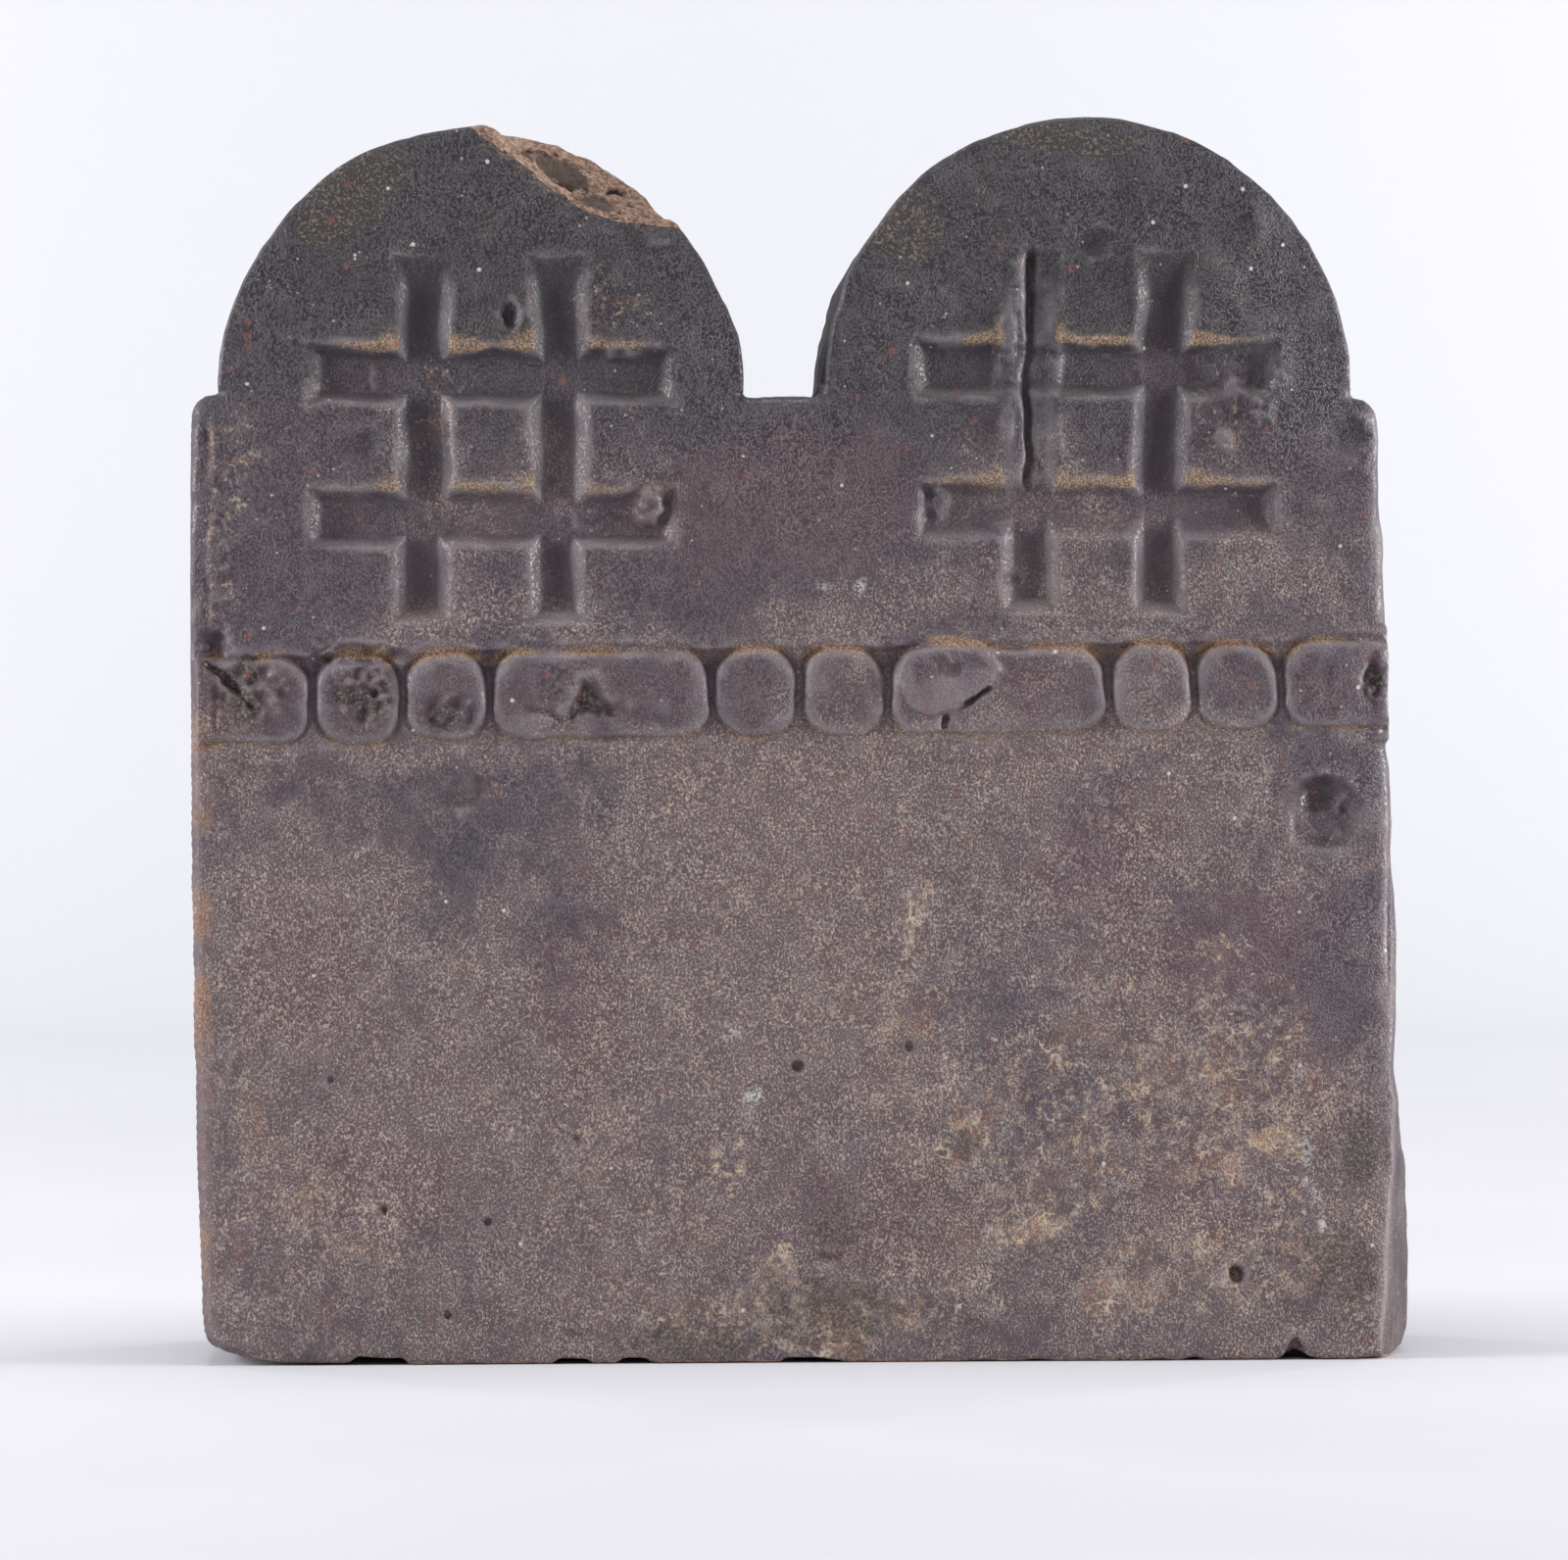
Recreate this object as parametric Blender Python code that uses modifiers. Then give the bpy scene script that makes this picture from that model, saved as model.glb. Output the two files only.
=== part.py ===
"""Pottery grave marker, modelled as the one piece of fired clay that it is.

The marker is a thick slab that stands on its own underside. Its top is cut into two
round lobes with a square notch between them, like a pair of tablets. Four straight
grooves are pressed into the face of each lobe and cross as a grid, and a rolled band
of beads and bars runs across the face below them. The upper edge of the left lobe has
lost a flake, and the foot has small chips.

Units are metres and +Z is up. The face looks towards -Y. The origin lies on the
underside, at the middle of the whole piece's box.
"""

import math

import bmesh
import bpy
from mathutils import Matrix, Vector, noise

# The slab
SHOULDER_WIDTH = 0.3036
SHOULDER_HEIGHT = 0.2468
THICKNESS = 0.064
EDGE_ROUNDING = 0.0038
SHOULDER_ROUNDING = 0.0058
LEAN = 0.0034
LEFT_BELLY = 0.0014
RIGHT_BELLY = 0.0018
RIGHT_FLARE = 0.0072
FLARE_TOP = 0.080
FLARE_BOTTOM = 0.020

# The foot
LEFT_FOOT_ROUNDING = 0.0042
RIGHT_FOOT_ROUNDING = 0.0075
LEFT_FOOT_LIFT = 0.0032
LEFT_FOOT_RUN = 0.050
FLANK_WIDTH = 0.0105
FLANK_DEPTH = 0.021

# The two lobes and the notch between them
LEFT_STEP = 0.0072
RIGHT_STEP = 0.0068
NOTCH_WIDTH = 0.0196
INNER_FILLET = 0.0012
LOBE_DIFFERENCE = 0.0018
LEFT_LOBE_RISE = 0.0012
RIGHT_LOBE_RISE = 0.0034

# The pressed grids
GROOVE_LENGTH = 0.092
GROOVE_WIDTH = 0.0138
GROOVE_FLOOR = 0.0064
GROOVE_DEPTH = 0.0036
GROOVE_ROUNDING = 0.0012
SLOT_FLOOR = 0.0034
LEFT_UPRIGHT_TILT = math.radians(0.5)
RIGHT_UPRIGHT_TILT = math.radians(1.1)
GRID_PITCH_X = 0.0338
GRID_PITCH_Z = 0.0364
GRID_OFFSET_X = 0.0023
UPRIGHT_DROP = 0.0126
LEVEL_DROP = 0.0145

# The rolled band
BAND_DROP = 0.0758
BAND_TILT = math.radians(0.85)
BEAD_HEIGHT = 0.0220
BEAD_LENGTH = 0.0206
BAR_LENGTH = 0.0557
BEAD_GAP = 0.0014
BEAD_RISE = 0.0028
BEAD_CORNER = 0.0080
BEAD_ROUNDING = 0.0040
BEADS_PER_BAR = 2
BAND_PHASE = 0.0257
CHANNEL_DEPTH = 0.0011
CHANNEL_MARGIN = 0.0010

# The flake lost from the left lobe, and the small marks
FLAKE_ANGLE = math.radians(25.0)
FLAKE_LENGTH = 0.041
FLAKE_FACE_DEPTH = 0.0125
FLAKE_TOP_DEPTH = 0.027
FLAKE_HOLLOW = 0.0032
FLAKE_ROUGHNESS = 0.0007
FLAKE_GRAIN = 6.0
THUMB_RADIUS = 0.0105
THUMB_DEPTH = 0.0032
THUMB_BELOW_BAND = 0.0305
THUMB_FROM_SIDE = 0.0178
FOOT_CHIP_WIDTH = 0.0140
FOOT_CHIP_HEIGHT = 0.0062
FOOT_CHIP_DEPTH = 0.0110
FOOT_CHIP_FROM_SIDE = 0.0320

# How finely the round shapes are divided
EDGE_STEPS = 3
CORNER_STEPS = 4
FILLET_STEPS = 3
LOBE_STEPS = 28
LEFT_SIDE_STEPS = 8
RIGHT_SIDE_STEPS = 14
GROOVE_CORNER_STEPS = 2
BEAD_CORNER_STEPS = 5
BEAD_RIM_STEPS = 3
FLAKE_DIVISIONS = 5
DENT_DIVISIONS = 4
CHIP_SIDES = 6

# A rounding stays this share of the corner or the half width that it lies on
ROUNDING_SHARE = 0.92

# How far a cutter or a bead runs past the surface that it meets
OVERSHOOT = 0.004

# Faces of the drawn slab that meet at less than this are one flat face
FLAT_ANGLE = math.radians(0.05)

# Points of the outline that lie closer than this are one point
SHORTEST_EDGE = 0.0002

# Where the slab's two big faces lie, with the beads counted in the box
FACE_Y = (BEAD_RISE - THICKNESS) / 2
MIDDLE_Y = BEAD_RISE / 2

GLAZE_COLOUR = (0.085, 0.062, 0.064, 1.0)
GLAZE_ROUGHNESS = 0.42


def clear_scene():
    for thing in list(bpy.data.objects):
        bpy.data.objects.remove(thing, do_unlink=True)


def new_collection(name, parent):
    collection = bpy.data.collections.new(name)
    parent.children.link(collection)
    return collection


def arc(centre, radius, start, end, steps):
    """Points on an arc, its two ends included, with angles in degrees."""
    points = []
    for step in range(steps + 1):
        angle = math.radians(start + (end - start) * step / steps)
        points.append((centre[0] + radius * math.cos(angle), centre[1] + radius * math.sin(angle)))
    return points


def lobe_sizes():
    """Centre and radius of each lobe, which share what the steps and the notch leave."""
    both = (SHOULDER_WIDTH - LEFT_STEP - RIGHT_STEP - NOTCH_WIDTH) / 2
    left_radius = (both - LOBE_DIFFERENCE) / 2
    right_radius = (both + LOBE_DIFFERENCE) / 2
    left_x = -SHOULDER_WIDTH / 2 + LEFT_STEP + left_radius
    right_x = SHOULDER_WIDTH / 2 - RIGHT_STEP - right_radius
    left = ((left_x, SHOULDER_HEIGHT + LEFT_LOBE_RISE), left_radius)
    right = ((right_x, SHOULDER_HEIGHT + RIGHT_LOBE_RISE), right_radius)
    return left, right


def lean_at(height):
    """The sides lean to the right on their way down."""
    return LEAN * (1 - height / SHOULDER_HEIGHT)


def left_side(height):
    belly = LEFT_BELLY * math.sin(math.pi * height / SHOULDER_HEIGHT)
    return -SHOULDER_WIDTH / 2 + lean_at(height) - belly


def right_side(height):
    """The right side swells a little and spreads out over its foot."""
    belly = RIGHT_BELLY * math.sin(math.pi * height / SHOULDER_HEIGHT)
    spread = min(1.0, max(0.0, (FLARE_TOP - height) / (FLARE_TOP - FLARE_BOTTOM)))
    flare = RIGHT_FLARE * (3 - 2 * spread) * spread * spread
    return SHOULDER_WIDTH / 2 + lean_at(height) + belly + flare


def side_heights(start, end, steps):
    return [start + (end - start) * step / steps for step in range(steps + 1)]


def lobe_arc(lobe):
    """A lobe's round top, between the fillets that meet it at the shoulder's height."""
    centre, radius = lobe
    foot = max(0.0, SHOULDER_HEIGHT + INNER_FILLET - centre[1])
    spare = math.degrees(math.asin(foot / radius))
    return arc(centre, radius, 180 - spare, spare, LOBE_STEPS)


def fillet(x, corner_side):
    """The soft inner corner where a lobe stands on the shoulder's height, at x.

    The open side of the corner lies to the left (-1) or to the right (1) of the lobe's edge.
    """
    centre = (x + corner_side * INNER_FILLET, SHOULDER_HEIGHT + INNER_FILLET)
    if corner_side > 0:
        return arc(centre, INNER_FILLET, 180, 270, FILLET_STEPS)
    return arc(centre, INNER_FILLET, 270, 360, FILLET_STEPS)


def shoulder_rounding(step):
    """A shoulder's corner, within the step that it stands on."""
    return min(SHOULDER_ROUNDING, step - INNER_FILLET)


def rim_rounding():
    """The rounding of the two faces' rims, which turns inside the outline's own corners."""
    shoulders = min(shoulder_rounding(LEFT_STEP), shoulder_rounding(RIGHT_STEP))
    tightest = min(LEFT_FOOT_ROUNDING, RIGHT_FOOT_ROUNDING, shoulders)
    return min(EDGE_ROUNDING, ROUNDING_SHARE * tightest)


def face_outline():
    """The outline of the face, clockwise from the left end of the foot."""
    foot_z = LEFT_FOOT_LIFT + LEFT_FOOT_ROUNDING
    foot = (left_side(foot_z) + LEFT_FOOT_ROUNDING, foot_z)
    points = arc(foot, LEFT_FOOT_ROUNDING, 270, 180, CORNER_STEPS)
    rounding = shoulder_rounding(LEFT_STEP)
    side_top = SHOULDER_HEIGHT - rounding
    points += [(left_side(z), z) for z in side_heights(foot_z, side_top, LEFT_SIDE_STEPS)[1:-1]]
    shoulder = (left_side(side_top) + rounding, side_top)
    points += arc(shoulder, rounding, 180, 90, CORNER_STEPS)

    for lobe in lobe_sizes():
        (x, z), radius = lobe
        points += fillet(x - radius, -1)
        points += lobe_arc(lobe)
        points += fillet(x + radius, 1)

    rounding = shoulder_rounding(RIGHT_STEP)
    side_top = SHOULDER_HEIGHT - rounding
    shoulder = (right_side(side_top) - rounding, side_top)
    points += arc(shoulder, rounding, 90, 0, CORNER_STEPS)
    downwards = side_heights(side_top, RIGHT_FOOT_ROUNDING, RIGHT_SIDE_STEPS)[1:-1]
    points += [(right_side(z), z) for z in downwards]
    foot = (right_side(RIGHT_FOOT_ROUNDING) - RIGHT_FOOT_ROUNDING, RIGHT_FOOT_ROUNDING)
    points += arc(foot, RIGHT_FOOT_ROUNDING, 0, -90, CORNER_STEPS)
    points.append((left_side(0.0) + LEFT_FOOT_RUN, 0.0))
    return without_doubles(points)


def without_doubles(points):
    """The same points without those that repeat the one before."""
    kept = []
    for point in points:
        if not kept or math.dist(point, kept[-1]) > SHORTEST_EDGE:
            kept.append(point)
    return kept


def sideways_shift(points):
    """How far the outline moves so that its box is centred on the origin."""
    across = [x for x, z in points]
    return -(min(across) + max(across)) / 2


def slab_from_outline(points, shift, collection):
    """A flat curve of the outline, filled and given its thickness, then made a mesh."""
    curve = bpy.data.curves.new("outline", "CURVE")
    curve.dimensions = "2D"
    curve.fill_mode = "BOTH"
    curve.extrude = THICKNESS / 2
    spline = curve.splines.new("POLY")
    spline.points.add(len(points) - 1)
    for point, (x, z) in zip(spline.points, points):
        point.co = (x + shift, z, 0.0, 1.0)
    spline.use_cyclic_u = True
    drawn = bpy.data.objects.new("outline", curve)
    drawn.matrix_world = Matrix.Translation((0.0, MIDDLE_Y, 0.0)) @ Matrix.Rotation(math.pi / 2, 4, "X")
    collection.objects.link(drawn)
    bpy.context.view_layer.update()

    graph = bpy.context.evaluated_depsgraph_get()
    mesh = bpy.data.meshes.new_from_object(drawn.evaluated_get(graph))
    shell = bmesh.new()
    shell.from_mesh(mesh)
    bmesh.ops.remove_doubles(shell, verts=shell.verts, dist=1e-6)
    bmesh.ops.dissolve_limit(shell, angle_limit=FLAT_ANGLE, verts=shell.verts, edges=shell.edges)
    shell.to_mesh(mesh)
    shell.free()
    slab = bpy.data.objects.new("grave_marker", mesh)
    slab.matrix_world = drawn.matrix_world
    collection.objects.link(slab)
    bpy.data.objects.remove(drawn)
    bpy.data.curves.remove(curve)
    return slab


def round_edges(slab):
    """Bevel the rims of the two big faces, and leave the corners along the thickness alone."""
    mesh = slab.data
    weights = mesh.attributes.new("bevel_weight_edge", "FLOAT", "EDGE")
    for edge, weight in zip(mesh.edges, weights.data):
        first, second = (mesh.vertices[index].co for index in edge.vertices)
        weight.value = 1.0 if abs(first.z - second.z) < THICKNESS / 2 else 0.0
    bevel = slab.modifiers.new("rounded rim", "BEVEL")
    bevel.width = rim_rounding()
    bevel.segments = EDGE_STEPS
    bevel.limit_method = "WEIGHT"
    bevel.use_clamp_overlap = False


def guide_object(name, shape, collection, matrix):
    """A cutter or an added shape, shown as wire and left out of a render."""
    mesh = bpy.data.meshes.new(name)
    bmesh.ops.recalc_face_normals(shape, faces=shape.faces)
    shape.to_mesh(mesh)
    shape.free()
    guide = bpy.data.objects.new(name, mesh)
    guide.matrix_world = matrix
    guide.hide_render = True
    guide.display_type = "WIRE"
    collection.objects.link(guide)
    return guide


def box_shape(low, high):
    shape = bmesh.new()
    bmesh.ops.create_cube(shape, size=1.0)
    middle = (Vector(low) + Vector(high)) / 2
    size = Vector(high) - Vector(low)
    for corner in shape.verts:
        corner.co = middle + Vector(a * b for a, b in zip(corner.co, size))
    return shape


def groove_cutter(name, floor, collection, matrix):
    """The mark of a straight edged stick: sloping walls and a flat floor.

    The groove runs along the cutter's Z, is pressed in along +Y and starts at the face, y = 0.
    """
    slope = (GROOVE_WIDTH - floor) / 2 / GROOVE_DEPTH
    mouth = GROOVE_WIDTH / 2 + slope * OVERSHOOT
    end = GROOVE_LENGTH / 2 + slope * OVERSHOOT
    shape = box_shape((-mouth, -OVERSHOOT, -end), (mouth, GROOVE_DEPTH, end))
    for corner in shape.verts:
        if corner.co.y > 0:
            corner.co.x = math.copysign(floor / 2, corner.co.x)
            corner.co.z = math.copysign(GROOVE_LENGTH / 2 - slope * GROOVE_DEPTH, corner.co.z)
    cutter = guide_object(name, shape, collection, matrix)
    bevel = cutter.modifiers.new("soft corners", "BEVEL")
    bevel.width = GROOVE_ROUNDING
    bevel.segments = GROOVE_CORNER_STEPS


def press_grid(side, lobe_centre, first_floor, second_tilt, shift, collection):
    """Two upright and two level grooves that cross, hung from the lobe's centre.

    The first upright has a floor width of its own, and the second one leans.
    """
    middle_x = lobe_centre[0] + shift + GRID_OFFSET_X
    upright_z = lobe_centre[1] - UPRIGHT_DROP
    level_z = lobe_centre[1] - LEVEL_DROP
    first = Matrix.Translation((middle_x - GRID_PITCH_X / 2, FACE_Y, upright_z))
    groove_cutter(f"{side}_upright_1", first_floor, collection, first)
    second = Matrix.Translation((middle_x + GRID_PITCH_X / 2, FACE_Y, upright_z))
    second = second @ Matrix.Rotation(-second_tilt, 4, "Y")
    groove_cutter(f"{side}_upright_2", GROOVE_FLOOR, collection, second)
    for number, sign in enumerate((-1, 1), start=1):
        level = Matrix.Translation((middle_x, FACE_Y, level_z + sign * GRID_PITCH_Z / 2))
        level = level @ Matrix.Rotation(math.pi / 2, 4, "Y")
        groove_cutter(f"{side}_level_{number}", GROOVE_FLOOR, collection, level)


def band_matrix(shift):
    """The band's own frame: its middle on the face, tilted with the band."""
    middle = Matrix.Translation((shift, FACE_Y, SHOULDER_HEIGHT - BAND_DROP))
    return middle @ Matrix.Rotation(-BAND_TILT, 4, "Y")


def bead_shape(start, end):
    """A pillow of clay with round corners, a soft rim and a flat top."""
    low = (start, -BEAD_RISE, -BEAD_HEIGHT / 2)
    high = (end, CHANNEL_DEPTH + OVERSHOOT, BEAD_HEIGHT / 2)
    shape = box_shape(low, high)
    corner_radius = min(BEAD_CORNER, ROUNDING_SHARE * min(end - start, BEAD_HEIGHT) / 2)
    rim_radius = min(BEAD_ROUNDING, ROUNDING_SHARE * corner_radius)
    corners = []
    for edge in shape.edges:
        along = edge.verts[0].co - edge.verts[1].co
        if abs(along.y) > abs(along.x) + abs(along.z):
            corners.append(edge)
    bmesh.ops.bevel(
        shape, geom=corners, offset=corner_radius, segments=BEAD_CORNER_STEPS, profile=0.5, affect="EDGES"
    )
    rim = []
    for edge in shape.edges:
        if all(corner.co.y < -BEAD_RISE / 2 for corner in edge.verts) and len(edge.link_faces) == 2:
            normals = [face.normal for face in edge.link_faces]
            if abs(normals[0].dot(normals[1])) < 0.5:
                rim.append(edge)
    bmesh.ops.bevel(
        shape, geom=rim, offset=rim_radius, segments=BEAD_RIM_STEPS, profile=0.5, affect="EDGES"
    )
    return shape


def roll_band(shift, collection):
    """Bars with beads between them, repeated as far as the slab's sides, where they are cut off."""
    pattern = [BAR_LENGTH] + [BEAD_LENGTH] * BEADS_PER_BAR
    turn = sum(pattern) + len(pattern) * BEAD_GAP
    height = SHOULDER_HEIGHT - BAND_DROP
    left = left_side(height) + rim_rounding() / 2
    right = right_side(height) - rim_rounding() / 2
    first = math.floor((left - BAND_PHASE) / turn)
    last = math.ceil((right - BAND_PHASE) / turn)
    place = band_matrix(shift)
    number = 0
    for repeat in range(first, last):
        start = BAND_PHASE + repeat * turn
        for length in pattern:
            end = start + length
            shown = min(end, right) - max(start, left)
            if shown > BEAD_ROUNDING:
                number += 1
                shape = bead_shape(start, end)
                trim_shape(shape, left, right)
                guide_object(f"bead_{number:02d}", shape, collection, place)
            start = end + BEAD_GAP


def trim_shape(shape, left, right):
    """Cut a bead off square where the slab ends, and close the cut."""
    for side, normal in ((left, (-1, 0, 0)), (right, (1, 0, 0))):
        geometry = list(shape.verts) + list(shape.edges) + list(shape.faces)
        cut = bmesh.ops.bisect_plane(
            shape, geom=geometry, plane_co=(side, 0, 0), plane_no=normal, clear_outer=True
        )
        edges = [part for part in cut["geom_cut"] if isinstance(part, bmesh.types.BMEdge)]
        if edges:
            bmesh.ops.holes_fill(shape, edges=edges)


def channel_cutter(shift, collection):
    """The shallow track that the roller left, across the whole face."""
    reach = SHOULDER_WIDTH
    half = BEAD_HEIGHT / 2 + CHANNEL_MARGIN
    shape = box_shape((-reach, -OVERSHOOT, -half), (reach, CHANNEL_DEPTH, half))
    for corner in shape.verts:
        if corner.co.y < 0:
            corner.co.z += math.copysign(CHANNEL_MARGIN + OVERSHOOT, corner.co.z)
    return guide_object("band_channel", shape, collection, band_matrix(shift))


def plane_cutter(name, corners, size, collection):
    """A block that removes all that lies beyond the plane through three points."""
    first, second, third = (Vector(corner) for corner in corners)
    outwards = (second - first).cross(third - first).normalized()
    along = (second - first).normalized()
    across = outwards.cross(along)
    turn = Matrix((along, across, outwards)).transposed().to_4x4()
    middle = (first + second + third) / 3 + outwards * size / 2
    shape = box_shape((-size / 2,) * 3, (size / 2,) * 3)
    guide_object(name, shape, collection, Matrix.Translation(middle) @ turn)


def flank_cutter(shift, collection):
    """The slope where the spread foot on the right turns back from the face."""
    foot = right_side(0.0) + shift
    top = (right_side(FLARE_TOP) + shift, FACE_Y, FLARE_TOP)
    face = (foot - FLANK_WIDTH, FACE_Y, 0.0)
    side = (foot, FACE_Y + FLANK_DEPTH, 0.0)
    plane_cutter("flank_slope", (face, side, top), 2 * FLARE_TOP, collection)


def ball_shape(radii, subdivisions, roughness):
    """An ellipsoid from an icosphere, roughened by smooth noise where it asks for it."""
    shape = bmesh.new()
    bmesh.ops.create_icosphere(shape, subdivisions=subdivisions, radius=1.0)
    for corner in shape.verts:
        wobble = 1 + 2 * roughness / min(radii) * noise.noise(corner.co * FLAKE_GRAIN)
        corner.co = Vector(a * b * wobble for a, b in zip(corner.co, radii))
    return shape


def flake_cutter(lobe, shift, collection):
    """The scooped break that took the face's upper edge off the left lobe.

    The scoop runs from FLAKE_FACE_DEPTH below the rim, on the face, to FLAKE_TOP_DEPTH
    behind the face, on the top edge. It hollows the straight line between them, and it is
    FLAKE_LENGTH long where it crosses that line.
    """
    (x, z), radius = lobe
    chord = math.hypot(FLAKE_FACE_DEPTH, FLAKE_TOP_DEPTH)
    ball = (chord * chord / 4 + FLAKE_HOLLOW * FLAKE_HOLLOW) / (2 * FLAKE_HOLLOW)
    outwards = Vector((0.0, -FLAKE_FACE_DEPTH, FLAKE_TOP_DEPTH)) / chord
    middle = Vector((0.0, FACE_Y + FLAKE_TOP_DEPTH / 2, radius - FLAKE_FACE_DEPTH / 2))
    centre = middle + outwards * (ball - FLAKE_HOLLOW)
    along = FLAKE_LENGTH * ball / chord
    shape = ball_shape((along, ball, ball), FLAKE_DIVISIONS, FLAKE_ROUGHNESS)
    place = Matrix.Translation((x + shift, 0.0, z)) @ Matrix.Rotation(FLAKE_ANGLE, 4, "Y")
    guide_object("flake", shape, collection, place @ Matrix.Translation(centre))


def dimple_cutter(name, x, z, radius, depth, collection):
    """A round hollow of the given radius and depth in the face."""
    ball = (radius * radius + depth * depth) / (2 * depth)
    shape = ball_shape((ball, ball, ball), DENT_DIVISIONS, 0.0)
    guide_object(name, shape, collection, Matrix.Translation((x, FACE_Y + depth - ball, z)))


def foot_chip_cutter(shift, collection):
    """The wedge broken out of the foot's front edge, as half of a pyramid on its point."""
    x = right_side(0.0) - FOOT_CHIP_FROM_SIDE + shift
    shape = bmesh.new()
    bmesh.ops.create_cone(
        shape, cap_ends=True, segments=CHIP_SIDES, radius1=1.0, radius2=0.0, depth=2.0
    )
    size = (FOOT_CHIP_WIDTH, 2 * FOOT_CHIP_DEPTH, FOOT_CHIP_HEIGHT, 1.0)
    place = Matrix.Translation((x, FACE_Y, 0.0)) @ Matrix.Diagonal(size)
    bmesh.ops.transform(shape, matrix=place, verts=shape.verts)
    guide_object("foot_chip", shape, collection, Matrix.Identity(4))


def add_boolean(slab, name, operation, collection):
    boolean = slab.modifiers.new(name, "BOOLEAN")
    boolean.operation = operation
    boolean.solver = "EXACT"
    boolean.operand_type = "COLLECTION"
    boolean.collection = collection


def glaze_material():
    """Dark, half glossy salt glaze over brown clay."""
    material = bpy.data.materials.new("salt_glaze")
    material.use_nodes = True
    shader = material.node_tree.nodes["Principled BSDF"]
    shader.inputs["Base Color"].default_value = GLAZE_COLOUR
    shader.inputs["Roughness"].default_value = GLAZE_ROUGHNESS
    shader.inputs["Metallic"].default_value = 0.0
    return material


def main():
    clear_scene()
    scene = bpy.context.scene.collection
    parts = new_collection("pottery_grave_marker", scene)
    cutters = new_collection("cutters", scene)
    channel = new_collection("channel_cutter", cutters)
    beads = new_collection("bead_shapes", cutters)
    marks = new_collection("mark_cutters", cutters)

    outline = face_outline()
    shift = sideways_shift(outline)
    slab = slab_from_outline(outline, shift, parts)
    round_edges(slab)

    channel_cutter(shift, channel)
    roll_band(shift, beads)
    left_lobe, right_lobe = lobe_sizes()
    press_grid("left", left_lobe[0], GROOVE_FLOOR, LEFT_UPRIGHT_TILT, shift, marks)
    press_grid("right", right_lobe[0], SLOT_FLOOR, RIGHT_UPRIGHT_TILT, shift, marks)
    flake_cutter(left_lobe, shift, marks)
    flank_cutter(shift, marks)
    foot_chip_cutter(shift, marks)
    band_middle = SHOULDER_HEIGHT - BAND_DROP
    thumb_z = band_middle - THUMB_BELOW_BAND
    thumb_x = right_side(thumb_z) - THUMB_FROM_SIDE + shift
    dimple_cutter("thumb_dent", thumb_x, thumb_z, THUMB_RADIUS, THUMB_DEPTH, marks)

    add_boolean(slab, "band channel", "DIFFERENCE", channel)
    add_boolean(slab, "band beads", "UNION", beads)
    add_boolean(slab, "pressed and broken marks", "DIFFERENCE", marks)
    slab.data.materials.append(glaze_material())


main()
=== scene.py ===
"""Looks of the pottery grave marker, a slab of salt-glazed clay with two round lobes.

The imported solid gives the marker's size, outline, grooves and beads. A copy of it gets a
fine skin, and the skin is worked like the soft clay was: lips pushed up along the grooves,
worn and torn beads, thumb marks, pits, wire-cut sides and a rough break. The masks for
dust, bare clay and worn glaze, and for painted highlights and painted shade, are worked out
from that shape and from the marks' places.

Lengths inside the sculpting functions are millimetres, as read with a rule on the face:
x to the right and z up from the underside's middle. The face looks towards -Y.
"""

import itertools
import math

import bpy
import numpy as np
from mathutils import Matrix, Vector


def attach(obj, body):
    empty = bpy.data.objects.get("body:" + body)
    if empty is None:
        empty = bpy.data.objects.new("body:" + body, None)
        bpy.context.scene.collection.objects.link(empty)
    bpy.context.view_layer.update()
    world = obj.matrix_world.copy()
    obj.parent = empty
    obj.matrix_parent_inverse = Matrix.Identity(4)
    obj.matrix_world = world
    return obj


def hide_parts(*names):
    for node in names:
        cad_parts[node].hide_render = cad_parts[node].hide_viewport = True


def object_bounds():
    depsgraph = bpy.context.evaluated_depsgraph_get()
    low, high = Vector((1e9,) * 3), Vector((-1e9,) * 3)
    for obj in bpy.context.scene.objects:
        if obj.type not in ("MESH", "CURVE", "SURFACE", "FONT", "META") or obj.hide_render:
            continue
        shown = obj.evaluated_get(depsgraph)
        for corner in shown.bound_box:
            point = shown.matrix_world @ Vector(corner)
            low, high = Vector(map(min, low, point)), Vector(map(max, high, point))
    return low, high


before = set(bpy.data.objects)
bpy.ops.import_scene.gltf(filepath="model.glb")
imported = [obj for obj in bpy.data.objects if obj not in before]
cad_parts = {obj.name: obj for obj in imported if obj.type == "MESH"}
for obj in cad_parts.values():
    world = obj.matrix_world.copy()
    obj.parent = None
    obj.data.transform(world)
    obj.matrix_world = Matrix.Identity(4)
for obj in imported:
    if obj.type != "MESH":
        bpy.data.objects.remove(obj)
cad_low, cad_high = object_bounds()

MM = 0.001

SKIN_VOXEL = 0.72 * MM
MOST_TRIANGLES = 194000

# The slab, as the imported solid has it
FACE_Y = -30.6
BACK_Y = 33.4
SHOULDER_Z = 246.8
SIDE_X = 154.5
LEFT_LOBE = (-83.3, 248.0, 66.6)
RIGHT_LOBE = (71.3, 250.2, 68.4)
NOTCH = (-16.7, 2.9)

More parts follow.
